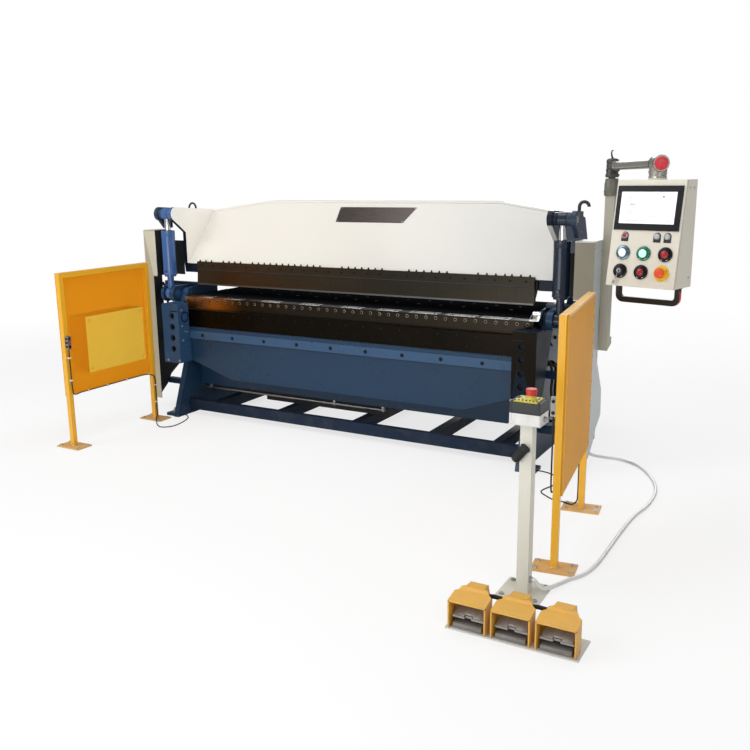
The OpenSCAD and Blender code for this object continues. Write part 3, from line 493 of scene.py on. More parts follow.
# mesh kit in millimetres
class Piece:
    def __init__(self, name, body, mat, place=None):
        self.bm = bmesh.new()
        self.name, self.body, self.mat = name, body, mat
        self.place = place or Matrix.Identity(4)

    def round_edges(self, edges, bev):
        if bev:
            bmesh.ops.bevel(self.bm, geom=list(edges), offset=bev, segments=1, affect="EDGES",
                            profile=0.5)

    def box(self, a, b, bev=0.0):
        c = Vector([(a[i] + b[i]) / 2 for i in range(3)])
        s = [abs(b[i] - a[i]) for i in range(3)]
        at = self.place @ Matrix.Translation(c) @ Matrix.Diagonal((*s, 1))
        made = bmesh.ops.create_cube(self.bm, size=1, matrix=at)
        self.round_edges({e for vert in made["verts"] for e in vert.link_edges}, bev)
        return self

    def cyl(self, p, q, r, n=20, bev=0.0):
        p, q = self.place @ Vector(p), self.place @ Vector(q)
        d = q - p
        turn = Vector((0, 0, 1)).rotation_difference(d.normalized()).to_matrix().to_4x4()
        at = Matrix.Translation((p + q) / 2) @ turn
        made = bmesh.ops.create_cone(self.bm, cap_ends=True, segments=n, radius1=r, radius2=r,
                                     depth=d.length, matrix=at)
        edges = {e for vert in made["verts"] for e in vert.link_edges}
        self.round_edges({e for e in edges if any(len(f.verts) > 4 for f in e.link_faces)}, bev)
        return self

    def lathe(self, p, q, prof, n=28, caps=True):
        """prof: (distance from p towards q, radius) pairs."""
        p, q = self.place @ Vector(p), self.place @ Vector(q)
        d = (q - p).normalized()
        a = d.orthogonal().normalized()
        b = d.cross(a)
        rings = []
        for (t, r) in prof:
            if r <= 0.001:
                rings.append([self.bm.verts.new(p + d * t)])
            else:
                turns = [2 * pi * i / n for i in range(n)]
                rings.append([self.bm.verts.new(p + d * t + (a * cos(w) + b * sin(w)) * r) for w in turns])
        for u, w in zip(rings, rings[1:]):
            for i in range(n):
                j = (i + 1) % n
                if len(u) == 1 and len(w) == 1:
                    continue
                if len(u) == 1:
                    self.bm.faces.new((u[0], w[j], w[i]))
                elif len(w) == 1:
                    self.bm.faces.new((u[i], u[j], w[0]))
                else:
                    self.bm.faces.new((u[i], u[j], w[j], w[i]))
        for ring, flip in ((rings[0], True), (rings[-1], False)):
            if caps and len(ring) > 1:
                self.bm.faces.new(list(reversed(ring)) if flip else ring)
        return self

    def ring(self, p, q, prof, n=28):
        """A lathe that is open at both ends."""
        return self.lathe(p, q, prof, n, False)

    def screw(self, p, d, r=7, h=6):
        """Head of a socket screw, standing along d."""
        p, d = Vector(p), Vector(d).normalized()
        prof = [(0, r), (h * 0.8, r), (h, r * 0.88), (h, r * 0.52), (h * 0.45, r * 0.5), (h * 0.45, 0)]
        return self.lathe(p, p + d, prof, 14)

    def hexbolt(self, p, d, r=9, h=7):
        """Washer and hexagon head, standing along d."""
        p, d = Vector(p), Vector(d).normalized()
        self.cyl(p, p + d * 2, r * 1.35, 20)
        return self.cyl(p + d * 2, p + d * (2 + h), r, 6, bev=0.6)

    def tube(self, pts, r, n=10):
        """r: radius, or a function of the share of the points passed."""
        P = [self.place @ Vector(p) for p in pts]
        rings = []
        ref = None
        for i, p in enumerate(P):
            d = (P[min(i + 1, len(P) - 1)] - P[max(i - 1, 0)]).normalized()
            ref = d.orthogonal().normalized() if ref is None else (ref - d * ref.dot(d)).normalized()
            b = d.cross(ref)
            radius = r(i / (len(P) - 1)) if callable(r) else r
            turns = [2 * pi * q / n for q in range(n)]
            rings.append([self.bm.verts.new(p + (ref * cos(w) + b * sin(w)) * radius) for w in turns])
        for u, w in zip(rings, rings[1:]):
            for i in range(n):
                j = (i + 1) % n
                self.bm.faces.new((u[i], u[j], w[j], w[i]))
        self.bm.faces.new(list(reversed(rings[0])))
        self.bm.faces.new(rings[-1])
        return self

    def prism(self, pts, d, bev=0.0):
        """pts: closed outline in space, pushed along d."""
        P = [self.place @ Vector(p) for p in pts]
        q = self.place.to_3x3() @ Vector(d)
        lo = [self.bm.verts.new(p) for p in P]
        hi = [self.bm.verts.new(p + q) for p in P]
        fs = [self.bm.faces.new(list(reversed(lo))), self.bm.faces.new(hi)]
        for i in range(len(P)):
            j = (i + 1) % len(P)
            fs.append(self.bm.faces.new((lo[i], lo[j], hi[j], hi[i])))
        bmesh.ops.recalc_face_normals(self.bm, faces=fs)
        self.round_edges({e for f in fs for e in f.edges}, bev)
        return self

    def done(self, angle=38):
        bmesh.ops.recalc_face_normals(self.bm, faces=self.bm.faces)
        bmesh.ops.scale(self.bm, vec=(MM, MM, MM), verts=self.bm.verts)
        mesh = DATA.meshes.new(self.name)
        self.bm.to_mesh(mesh)
        self.bm.free()
        mesh.polygons.foreach_set("use_smooth", [True] * len(mesh.polygons))
        mesh.set_sharp_from_angle(angle=radians(angle))
        mesh.materials.append(MATERIALS[self.mat])
        o = DATA.objects.new(self.name, mesh)
        bpy.context.scene.collection.objects.link(o)
        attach(o, self.body)
        return o


def catmull(pts, m):
    """Smooth path through the points, with m steps between two of them."""
    out = []
    n = len(pts) - 1
    P = [Vector(p) for p in pts]
    for i in range(n):
        a, b, c, d = P[max(i - 1, 0)], P[i], P[i + 1], P[min(i + 2, n)]
        for s in range(m):
            t = s / m
            square, cube = 2 * a - 5 * b + 4 * c - d, 3 * b - a - 3 * c + d
            out.append(0.5 * (2 * b + (c - a) * t + square * t * t + cube * t ** 3))
    out.append(P[-1])
    return out


# cords
def on_right(p):
    c, s = cos(RIGHT_TURN), sin(RIGHT_TURN)
    return (RIGHT_X + p[0] * c - p[1] * s, RIGHT_Y + p[0] * s + p[1] * c, p[2])


route_c = [(1794.1, -1949, 60), (1803, -1949, 60), (1812, -1949, 59.9), (1836, -1938, 30),
           (1858, -1908, 19), (1884, -1840, 14), (1906, -1775, 10), (1944, -1706, 10),
           (1965, -1590, 10), (1969, -1420, 10), (1971, -1223, 10), (1980, -990, 10), (2008, -790, 10),
           (2000, -580, 10), (1937, -390, 10), (1830, -220, 10), (1714, -150, 10), (1630, -160, 14),
           (1566, -215, 35), (1551, -268, 75), (1550, -281, 112), (1550, -281, 130),
           (1550, -281, 149.9)]
route_l = [(GUARD_X + 42, -1412, 619.9), (GUARD_X + 42, -1412, 540), (GUARD_X + 40, -1410, 440),
           (GUARD_X + 37, -1404, 350), (GUARD_X + 27, -1377, 328), (GUARD_X + 12, -1312, 327),
           (GUARD_X + 12, -1192, 327), (GUARD_X + 12, -1052, 327), (GUARD_X + 12, -872, 327),
           (GUARD_X + 15, -762, 326), (GUARD_X + 31, -720, 318), (GUARD_X + 36, -696, 290),
           (GUARD_X + 35, -693, 200), (GUARD_X + 35, -694, 90), (GUARD_X + 39, -699, 35),
           (GUARD_X + 60, -732, 14.5), (-1235, -812, 7), (-1165, -850, 4.5), (-1110, -800, 4.5),
           (-1115, -700, 4.5), (-1150, -600, 5), (-1190, -562, 11), (-1210, -560, 12),
           (-1223, -560, 12), (-1234.9, -560, 12)]
route_r = [on_right(p) for p in [(-11, 16, 664), (-11, 16, 560), (-11, 16, 430), (-10, 18, 345),
                                 (-6, 40, 331), (14, 72, 328), (23, 130, 327), (23, 300, 327),
                                 (23, 480, 327), (23, 620, 327), (12, 680, 324), (-3, 708, 314),
                                 (-5, 735, 290), (-5, 738, 180), (-5, 738, 80), (-9, 738, 36),
                                 (-34, 744, 13), (-84, 764, 13), (-124, 790, 4.5)]]
route_r += [(1520, -900, 4.5), (1470, -840, 4.5), (1500, -720, 4.5), (1500, -620, 4.5), (1430, -568, 9),
            (1380, -560, 12), (1365, -560, 12), (1350.1, -560, 12)]


def cord(name, route, rad, node, mat, rings, ribs=0.0, n=12):
    pts = catmull(route, rings)
    if ribs:
        # resample finely so that each turn of the spiral shows
        step = 5.2
        fine, carry = [pts[0]], 0.0
        for p, q in zip(pts, pts[1:]):
            gap = (q - p).length
            t = step - carry
            while t < gap:
                fine.append(p.lerp(q, t / gap))
                t += step
            carry = gap - (t - step)
        fine.append(pts[-1])
        use_pts = fine
        radius = lambda f, c=len(fine): rad - (ribs if int(round(f * (c - 1))) % 2 else 0)
    else:
        use_pts, radius = pts, rad
    piece = Piece(name, "base", mat).tube(use_pts, radius, n)
    o = piece.done(60)
    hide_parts(node)
    return o


cord("conduit_hose", route_c, 9, "conduit", "conduit_metal", 8, ribs=0.9, n=14)
cord("guard_cable_left_cord", route_l, 3.5, "guard_cable_left", "cable_rubber", 6)
cord("guard_cable_right_cord", route_r, 3.5, "guard_cable_right", "cable_rubber", 6)

# clamping beam
slope = radians(48)
SLOPE_Y, SLOPE_Z = -313, 1047            # lower front corner of the sloped plate
uphill = Vector((0, cos(slope), sin(slope)))
off_plate = Vector((0, -sin(slope), cos(slope)))


def on_slope(x, s, h=0.0):
    """x along the beam, s up the slope from its lower edge, h off the plate."""
    return Vector((x, SLOPE_Y, SLOPE_Z)) + uphill * s + off_plate * h


def slope_quad(piece, corners, h, bev=0.0):
    piece.prism([on_slope(x, s, 0.02) for x, s in corners], off_plate * h, bev)


def slope_at(z):
    return (z - SLOPE_Z) / sin(slope)


# bare dark plate
plate = Piece("bare_plate", "clamping", "plate_bare")
steel("plate_bare", (0.10, 0.085, 0.078), 0.30, (2, 40, 40), contrast=0.25)
s0, s1 = slope_at(1333), slope_at(1427)
slope_quad(plate, [(-250, s0), (250, s0), (312, s1), (-258, s1)], 1.6, 0.5)
plate.done()
rivets = Piece("bare_plate_rivets", "clamping", "bright_steel")
for x, s in ((-240, s0 + 8), (243, s0 + 8), (300, s1 - 8), (-246, s1 - 8)):
    rivets.lathe(on_slope(x, s, 1.4), on_slope(x, s, 9), [(0, 3.2), (1.2, 2.8), (2, 0)], 12)
rivets.done()

# folded lip along the top edge
lip = Piece("beam_top_lip", "clamping", "white_paint")


def top_z(x):
    ax = abs(x)
    return 1467 if ax <= 855 else 1467 - (ax - 855) * (1467 - 1400) / (1327 - 855)


xs = [-1320, -855, 855, 1320]
for xa, xb in zip(xs, xs[1:]):
    za, zb = top_z(xa), top_z(xb)
    ya = SLOPE_Y + (za - SLOPE_Z) / tan(slope)
    yb = SLOPE_Y + (zb - SLOPE_Z) / tan(slope)
    p, q = Vector((xa, ya, za)), Vector((xb, yb, zb))
    lip.prism([p - uphill * 16 + off_plate * 0.02, p + off_plate * 0.02 - uphill * 1,
               p + off_plate * 2.0 - uphill * 1, p - uphill * 16 + off_plate * 2.0], q - p)
lip.done()

# tool clamping screws standing in groups on the top of the tool strip
screws = Piece("tool_clamp_screws", "clamping", "black_oxide")
for xa, xb, cnt in ((-1200, -1099, 3), (-997, -848, 4), (-748, -210, 12), (-45, 244, 7), (430, 683, 6),
                    (880, 1046, 4), (1088, 1196, 3)):
    for i in range(cnt):
        x = xa + (xb - xa) * i / (cnt - 1)
        screws.cyl((x, -321.5, 1060.7), (x, -321.5, 1064.5), 7.4, 6, bev=0.5)
        screws.lathe((x, -321.5, 1064), (x, -321.5, 1080),
                     [(0, 4.4), (8.0, 4.4), (8.8, 3.8), (8.8, 2.2), (6.5, 2.0), (6.5, 0)], 12)
screws.done()

# front face of the tool: seams between its sections, screws of its strip
seams = Piece("tool_seams", "clamping", "black_oxide")
tilt = tan(radians(5.2))


def tool_y(z):
    h = z - 901
    return HINGE_Y + (h * tilt if h < 106 else h * tilt - 7)


for x in (-1080, -880, -630, -380, -130, 120, 370, 620, 820, 1000, 1120):
    low, high = (tool_y(903) - 0.25, 903), (tool_y(1006) - 0.25, 1006)
    seams.prism([(x - 0.6, *low), (x + 0.6, *low), (x + 0.6, *high), (x - 0.6, *high)], (0, 0.6, 0))
seams.done()
heads = Piece("tool_strip_screws", "clamping", "black_oxide")
x = -1175
while x < 1190:
    heads.screw((x, tool_y(1034) + 0.5, 1034), (0, -1, tilt), 6.5, 2.5)
    x += 94
heads.done()
# painted shadow in the gap under the clamping strip and in the grooves at the ends, and the nose of the
# tool
groove = Piece("tool_strip_groove", "clamping", "painted_shade_dark")
groove.box((-TOOL_X, tool_y(1009) - 0.4, 1003), (TOOL_X, tool_y(1009) + 3, 1007.5))
for s in (-1, 1):
    groove.box((s * 1224.8, -318, 922), (s * 1225.6, -300, 1040))
groove.done()
nose = Piece("tool_nose_edge", "clamping", "grey_steel")
nose.prism([(-TOOL_X, -334.3, 901.2), (-TOOL_X, -333.0, 912), (-TOOL_X, -333.9, 912),
            (-TOOL_X, -334.9, 904)], (2 * TOOL_X, 0, 0))
nose.done()
# keepers at each end of the tool
keepers = Piece("tool_end_keepers", "clamping", "black_oxide")
for s in (-1, 1):
    keepers.box((s * 1225.5, -312, 985), (s * 1239, -286, 1038), 1.5)
    keepers.screw((s * 1239, -300, 1024), (s, 0, 0), 6, 5)
    keepers.screw((s * 1239, -300, 999), (s, 0, 0), 6, 5)
keepers.done()

# folding blade and beam
holes = Piece("blade_holes", "folding", "black_oxide")
rims = Piece("blade_hole_rims", "folding", "rim_steel")
count = 40
for i in range(count):
    x = -1228 + i * (2456 / (count - 1))
    rims.ring((x, BLADE_Y + 1.0, HOLE_Z), (x, BLADE_Y - 5, HOLE_Z),
              [(0, 10.0), (1.3, 10.0), (1.7, 9.2), (1.7, 8.0), (0.6, 7.7)], 18)
    holes.lathe((x, BLADE_Y + 0.4, HOLE_Z), (x, BLADE_Y - 5, HOLE_Z),
                [(0, 7.9), (0.8, 7.9), (0.8, 4.4), (0.4, 4.2), (0.4, 0)], 14)
rims.done()
# holder screws
for i in range(20):
    x = -1190 + i * 125.2
    holes.screw((x, HOLDER_Y + 0.5, 722), (0, -1, 0), 7, 2.0)
    holes.screw((x + 62, HOLDER_Y + 0.5, 662), (0, -1, 0), 5, 1.2)
# ledge strip below the holder, with its tapped holes
ledge = Piece("beam_ledge_strip", "folding", "ledge_blue")
ledge.box((-1189.5, LEDGE_Y, 545), (1189.5, -478.6, 602), 1.2)
ledge.done()
for x in (-1078, -821, -560, -300, -43, 210, 464, 720, 981):
    holes.lathe((x, LEDGE_Y + 0.3, 573), (x, LEDGE_Y - 6, 573),
                [(0, 12), (1.0, 12), (1.0, 9.6), (0.6, 9.2), (0.6, 0)], 18)
holes.done()
# weld beads of the beam
welds = Piece("beam_welds", "folding", "frame_blue")
for s in (-1, 1):
    for z0 in (430, 470, 510, 550):
        welds.tube([(s * 1192, -480.5, z0), (s * 1192.5, -481.2, z0 + 16), (s * 1192, -480.5, z0 + 30)],
                   2.6, 6)
welds.done()

# slotted adjusting plates let into the top of the folding blade
plates = Piece("adjusting_plates", "folding", "bright_steel")
slots = Piece("adjusting_plate_slots", "folding", "black_oxide")
top = 827
for x0, w in ((-1150, 120), (-930, 150), (-620, 150), (-310, 150), (0, 150), (260, 150), (480, 190),
              (720, 190), (940, 180)):
    plates.box((x0, -426, top - 1), (x0 + w, -366, top + 2.4), 0.8)
    for sx in (x0 + 22, x0 + w - 44):
        slots.box((sx, -412, top + 1.5), (sx + 22, -405, top + 2.8))
        slots.screw((sx + 11, -390, top + 1.4), (0, 0, 1), 5.5, 2.2)
plates.done()
# stepped stop block on the right end of the blade, beyond the tool
block = Piece("blade_end_block", "folding", "bright_steel")
block.prism([(1231, -427, top), (1231, -347, top), (1231, -347, top + 30), (1231, -384, top + 30)],
            (57, 0, 0), 1.5)
block.box((1235, -378, top + 29), (1284, -349, top + 46), 2)
slots.prism([(1238, -414, top + 9.8), (1238, -396, top + 22.4), (1238, -395, top + 21.2),
             (1238, -413, top + 8.4)], (9, 0, 0))
slots.screw((1251, -363.5, top + 45.6), (0, 0, 1), 4.2, 2)
slots.screw((1268, -363.5, top + 45.6), (0, 0, 1), 4.2, 2)
for x in (1248, 1262):
    slots.lathe((x, -377.6, top + 38), (x, -380, top + 38), [(0, 3.4), (0.8, 3.2), (0.8, 0)], 12)
block.done()
slots.done()

# swing blocks: bolts deep in the counterbores, rims, seats and studs
bolts = Piece("swing_block_bolts", "folding", "black_oxide")
studs = Piece("swing_block_adjusters", "folding", "plate_steel")
seats = Piece("swing_block_seats", "folding", "black_oxide")
for side, s in SIDES:
    # the right rims take the arm's darker blue: painted shade
    rims = Piece("swing_block_rims_" + side, "folding", "black_oxide" if s < 0 else "arm_blue_painted_shade")
    for i in range(4):
        z = TABLE_Z - 120 - i * 76
        bolts.lathe((s * 1250, BLOCK_Y + 21.9, z), (s * 1250, -600, z),
                    [(0, 16.6), (2, 16.6), (2, 13.5), (12, 13.5), (13.5, 12.4), (13.5, 7.2), (6, 7.0),
                     (6, 0)], 20)
        rims.ring((s * 1250, BLOCK_Y, z), (s * 1250, -592, z),
                  [(-1.0, 17.05), (0.7, 17.3), (0.9, 20.6), (-0.2, 21.4)])
    rims.done()
    # locating step between block and holder, and the curved relief beside it
    seats.box((s * 1196, -590.5, 742), (s * 1262, -587.5, 748))
    seats.ring((s * 1194.5, -520, 700), (s * 1190, -520, 700),
               [(-0.3, 36), (1.2, 36), (1.2, 30), (0.6, 29)])
    for z in (770, 660, 560):
        studs.hexbolt((s * 1194.6, -548, z - 20), (-s, 0, 0), 8, 6)
    studs.cyl((s * 1190, -500, 592), (s * 1202, -540, 606), 5, 12, bev=0.6)
    studs.hexbolt((s * 1200, BLOCK_Y - 0.2, 404), (0, -1, 0), 7, 5)
    studs.hexbolt((s * 1300, BLOCK_Y - 0.2, 404), (0, -1, 0), 7, 5)
    # hinge boss: cap and thrust washer
    studs.lathe((s * 1339.2, HINGE_Y, TABLE_Z), (s * 1345, HINGE_Y, TABLE_Z),
                [(-0.3, 24), (0.6, 23.6), (0.6, 9), (0.2, 8), (0.2, 0)])
    seats.ring((s * 1294.8, HINGE_Y, TABLE_Z), (s * 1290.6, HINGE_Y, TABLE_Z),
               [(0, 36), (3.0, 36), (3.0, 27)])
bolts.done()
studs.done()
seats.done()
# hydraulic hoses and their fittings on the frames
for side, s in SIDES:
    hoses = Piece("frame_hoses_" + side, "base", "black_rubber")
    fittings = Piece("frame_fittings_" + side, "base", "plate_steel")
    for j, (yy, z0, z1, xx) in enumerate(((-250, 560, 250, 1312), (-225, 545, 240, 1330),
                                          (-200, 560, 225, 1318), (-172, 540, 215, 1334))):
        hoses.tube(catmull([(s * 1286, yy, z0), (s * xx, yy, z0 - 8), (s * (xx + 12), yy - 6, z0 - 90),
                            (s * (xx + 4), yy + 8, (z0 + z1) / 2), (s * (xx + 14), yy, z1 + 60),
                            (s * xx, yy + 4, z1), (s * 1284, yy + 6, z1 - 30)], 5), 7.5, 10)
        fittings.cyl((s * 1275.5, yy, z0), (s * 1290, yy, z0), 11, 6, bev=0.8)
        fittings.cyl((s * 1275.5, yy + 6, z1 - 30), (s * 1290, yy + 6, z1 - 30), 11, 6, bev=0.8)
    fittings.box((s * 1275.4, -290, 236), (s * 1352, -262, 250), 2)
    hoses.done()
    fittings.done()

# cylinders
for side, s in SIDES:
    x = s * CYL_X
    # the right cylinder's parts take a darker copy of the blue: painted shade
    mat = "cylinder_blue" if s < 0 else "cylinder_blue_painted_shade"
    collars = Piece("cylinder_collars_" + side, "barrel_" + side, mat)
    collars.ring((x, CYL_Y, 970), (x, CYL_Y, 1300),
                 [(-1, 38), (-1, 46.6), (1, 47.4), (11, 47.4), (13, 46.2)], 44)
    collars.ring((x, CYL_Y, 990), (x, CYL_Y, 1300), [(0, 46.1), (1, 47.0), (4, 47.0), (5, 46.1)], 44)
    collars.ring((x, CYL_Y, 1238), (x, CYL_Y, 1300),
                 [(0, 46.1), (2, 47.2), (32, 47.2), (35.6, 44), (36.4, 40), (36.4, 28)], 44)
    collars.cyl((x, CYL_Y - 44, 1004), (x, CYL_Y - 58, 1004), 11, 6, bev=1)
    collars.cyl((x, CYL_Y + 44, 1226), (x, CYL_Y + 60, 1226), 11, 6, bev=1)
    collars.ring((x, CYL_Y, 868), (x, CYL_Y, 960),
                 [(0, 23), (12, 22.9), (13, 26), (20, 26), (21, 22.9)], 30)
    collars.done()
    wiper = Piece("rod_wiper_" + side, "barrel_" + side, "black_rubber")
    wiper.ring((x, CYL_Y, 1273.6), (x, CYL_Y, 1300), [(0, 29), (3.5, 28), (4.5, 22.5), (3.5, 20.5)], 32)
    wiper.done()
    eye = Piece("rod_eye_face_" + side, "rod_" + side, mat)
    for e in (-1, 1):
        eye.ring((x + e * 23, CYL_Y, TOP_PIN_Z), (x + e * 30, CYL_Y, TOP_PIN_Z),
                 [(-0.4, 37.5), (0.5, 37), (0.8, 34), (-0.3, 33)], 32)
    eye.done()
    # the right pin caps take the darker blue: painted shade
    pins = Piece("pin_caps_" + side, "base", "arm_blue" if s < 0 else "cylinder_blue_painted_shade")
    pins.lathe((s * 1459, CYL_Y, LOW_PIN_Z), (s * 1470, CYL_Y, LOW_PIN_Z),
               [(0, 22.2), (3, 22.2), (4.5, 20.5), (4.5, 7), (2.5, 6.5), (2.5, 0)])
    pins.lathe((s * 1339.6, CYL_Y, LOW_PIN_Z), (s * 1330, CYL_Y, LOW_PIN_Z),
               [(-0.5, 24), (1.6, 24), (2.4, 22.6), (2.4, 5), (1.2, 4.6), (1.2, 0)])
    pins.ring((s * 1339.6, CYL_Y, LOW_PIN_Z), (s * 1330, CYL_Y, LOW_PIN_Z),
              [(-0.4, 31), (0.7, 30.6), (0.7, 27), (-0.4, 26.6)])
    pins.done()
    hose = Piece("cylinder_hose_" + side, "base", "black_rubber")
    hose.tube(catmull([(s * 1500, -262, 470), (s * 1512, -290, 560), (s * 1505, -330, 700),
                       (s * 1510, -352, 850), (s * 1530, -350, 905)], 6), 8, 10)
    hose.done()

# caps on the upper pins and on the rear pivots
for side, s in SIDES:
    ears = Piece("ear_caps_" + side, "clamping", "plate_steel")
    ears.lathe((s * 1478, CYL_Y, TOP_PIN_Z), (s * 1484, CYL_Y, TOP_PIN_Z),
               [(-0.5, 19), (1.6, 19), (2.2, 18), (2.2, 0)])
    for a in (45, 225):
        q = (s * 1478, CYL_Y + 31 * cos(radians(a)), TOP_PIN_Z + 31 * sin(radians(a)))
        ears.screw(q, (s, 0, 0), 5, 2.6)
    for yy in (-350, -322):
        ears.screw((s * 1478, yy, 1320), (s, 0, 0), 6, 3)
    ears.done()
    pivots = Piece("arm_pivot_caps_" + side, "base", "frame_blue")
    pivots.lathe((s * 1361.5, PIVOT_Y, PIVOT_Z), (s * 1370, PIVOT_Y, PIVOT_Z),
                 [(0, 35), (5, 35), (7, 32), (7, 12), (4, 11), (4, 0)], 36)
    for a in range(6):
        pivots.screw((s * 1368, PIVOT_Y + 22 * cos(a * pi / 3), PIVOT_Z + 22 * sin(a * pi / 3)),
                     (s, 0, 0), 4, 3)
    pivots.done()

# side frames and base
anchors = Piece("anchor_bolts", "base", "anchor_zinc")
for s, t in CORNERS:
    p = (s * 1315, t * 540, 20)
    anchors.cyl(p, (p[0], p[1], 23), 19, 24, bev=0.5)
    anchors.cyl((p[0], p[1], 23), (p[0], p[1], 36), 15, 6, bev=1)
    anchors.cyl((p[0], p[1], 36), (p[0], p[1], 48), 8, 16, bev=1)
anchors.done()
bolts = Piece("frame_bolts", "base", "black_oxide")
for s in (-1, 1):
    for (yy, zz) in ((-300, 745), (-230, 715), (-120, 690), (-95, 760), (-95, 850)):
        bolts.screw((s * 1290, yy, zz), (s, 0, 0), 11, 9)
    for i in range(5):
        bolts.hexbolt((s * 1275, 60 + 10 * i, 120 + i * 120), (s, 0, 0), 10, 8)
for i in range(16):
    bolts.screw((-1160 + i * 154.7, -100, TABLE_Z - 1.2), (0, 0, 1), 9, 1.6)
    bolts.screw((-1160 + i * 154.7, 60, 830 - 1.2), (0, 0, 1), 7, 1.6)
bolts.done()
# screws and seams of the covers
for side, s in SIDES:
    screws = Piece("cover_screws_" + side, "base", "plate_steel")
    for z in (300, 560, 820, 1080, 1240):
        screws.screw((s * 1590, -436, z), (s, 0, 0), 4.5, 2)
    for z in (640, 900, 1220):
        screws.screw((s * 1590, -312, z), (s, 0, 0), 4.5, 2)
    screws.done()
    seams = Piece("cover_seams_" + side, "base", "flange_tan" if s < 0 else "pale_paint")
    seams.box((s * 1484.5, -451.2, 958), (s * 1589.5, -449.4, 964), 0.5)
    seams.box((s * 1484.5, -451.0, 1270), (s * 1589.5, -449.4, 1276), 0.5)
    seams.done()

# pendant
ARM = Matrix.Translation((COLUMN_X, COLUMN_Y, 0)) @ Matrix.Rotation(ARM_ANGLE, 4, "Z")
HEAD = Matrix.Translation((SWIVEL_X, SWIVEL_Y, 0)) @ Matrix.Rotation(radians(-14.6), 4, "Z")
FACE = HEAD @ Matrix.Translation((0, -50, 1594)) @ Matrix.Rotation(-atan(68 / 456), 4, "X")


def face(u, v):
    return FACE @ Matrix.Translation((u, 0, -v)) @ Matrix.Rotation(radians(90), 4, "X")


def on_face(name, mat, u, v):
    return Piece(name, "pendant_head", mat, face(u, v))


# socket and elbow
socket = Piece("column_socket", "base", "socket_grey")
socket.ring((COLUMN_X, COLUMN_Y, 1510), (COLUMN_X, COLUMN_Y, 1600),
            [(-2, 33.2), (-2, 36.5), (3, 37.5), (62, 37.5), (66, 35.5), (84, 33.8), (87, 31),
             (88.4, 26)], 36)
for a in range(4):
    t = a * pi / 2 + 0.5
    socket.screw((COLUMN_X + 36.5 * cos(t), COLUMN_Y + 36.5 * sin(t), 1530), (cos(t), sin(t), 0), 5, 3)
socket.done()
elbow = Piece("arm_elbow", "swing_arm", "elbow_dark", ARM)
elbow.ring((0, 0, 1604), (0, 0, 1700),
           [(0, 20), (0, 33), (5, 35), (16, 35), (20, 31.5), (64, 31.5), (72, 31), (80, 33), (91, 31),
            (97, 22), (99, 8), (99, 0)], 36)
elbow.ring((14, 0, ARM_Z), (100, 0, ARM_Z), [(0, 20), (6, 27), (52, 25), (58, 23.5), (60, 21.2)], 32)
for a in (-1, 1):
    elbow.screw((10, a * 29, 1640), (0, a, 0), 6, 6)
    elbow.screw((10, a * 29, 1615), (0, a, 0), 6, 6)
elbow.tube(catmull([(-8, 6, 1697), (-10, 2, 1703), (2, -6, 1712), (26, -14, 1728), (62, -20, 1738),
                    (92, -22, 1739)], 5), lambda f: 5.5 - 2.2 * f, 10)
elbow.done(50)
bands = Piece("arm_tube_bands", "swing_arm", "arm_metal", ARM)
for x in (74, 812):
    bands.ring((x, 0, ARM_Z), (x + 20, 0, ARM_Z), [(0, 21.1), (0.6, 22.6), (14, 22.6), (14.6, 21.1)], 32)
bands.done()
joint = Piece("arm_end_joint", "swing_arm", "elbow_dark", ARM)
joint.ring((829, 0, ARM_Z), (920, 0, ARM_Z), [(-6, 21.2), (-4, 29), (2, 34.6), (14, 35.2), (16, 34.4)],
           36)
joint.ring((912, 0, ARM_Z), (920, 0, ARM_Z), [(-10, 34.2), (-8, 35.4), (3.4, 35.4), (4.2, 34.2)], 36)
joint.done()
cap = Piece("arm_end_cap", "swing_arm", "cap_red", ARM)
cap.lathe((916, 0, ARM_Z), (930, 0, ARM_Z),
          [(-1, 29), (4, 29), (5.8, 27.4), (6.2, 23), (5.2, 22.4), (5.2, 19), (6.8, 18), (7.4, 10),
           (7.6, 0)], 40)
cap.done(50)
coupling = Piece("arm_coupling", "swing_arm", "coupling_metal", ARM)
coupling.ring((ARM_LENGTH, 0, 1600), (ARM_LENGTH, 0, 1700),
              [(0.4, 30), (0.4, 37.6), (4, 38.4), (9, 38.4), (10, 36.6), (15, 36.6), (16, 38.0),
               (38, 38.0), (39, 36.6), (44, 36.6), (45, 37.4), (52, 37.4), (58, 34)], 44)
for a in range(3):
    t = a * 2.094 + 0.3
    coupling.screw((ARM_LENGTH + 37 * cos(t), 37 * sin(t), 1626), (cos(t), sin(t), 0), 4.5, 3)
coupling.done()

# box: seams, vents, bezel and screen
seams = Piece("box_seams", "pendant_head", "flange_tan", HEAD)
for s in (-1, 1):
    seams.prism([(s * 157.4, -42, 1590), (s * 157.4, -106, 1141), (s * 157.4, -104, 1141),
                 (s * 157.4, -40, 1590)], (s * 0.8, 0, 0))
    seams.screw((s * 157.4, 20, 1560), (s, 0, 0), 4.5, 2)
    seams.screw((s * 157.4, 20, 1180), (s, 0, 0), 4.5, 2)
    seams.screw((s * 157.4, -20, 1560), (s, 0, 0), 4.5, 2)
seams.done()
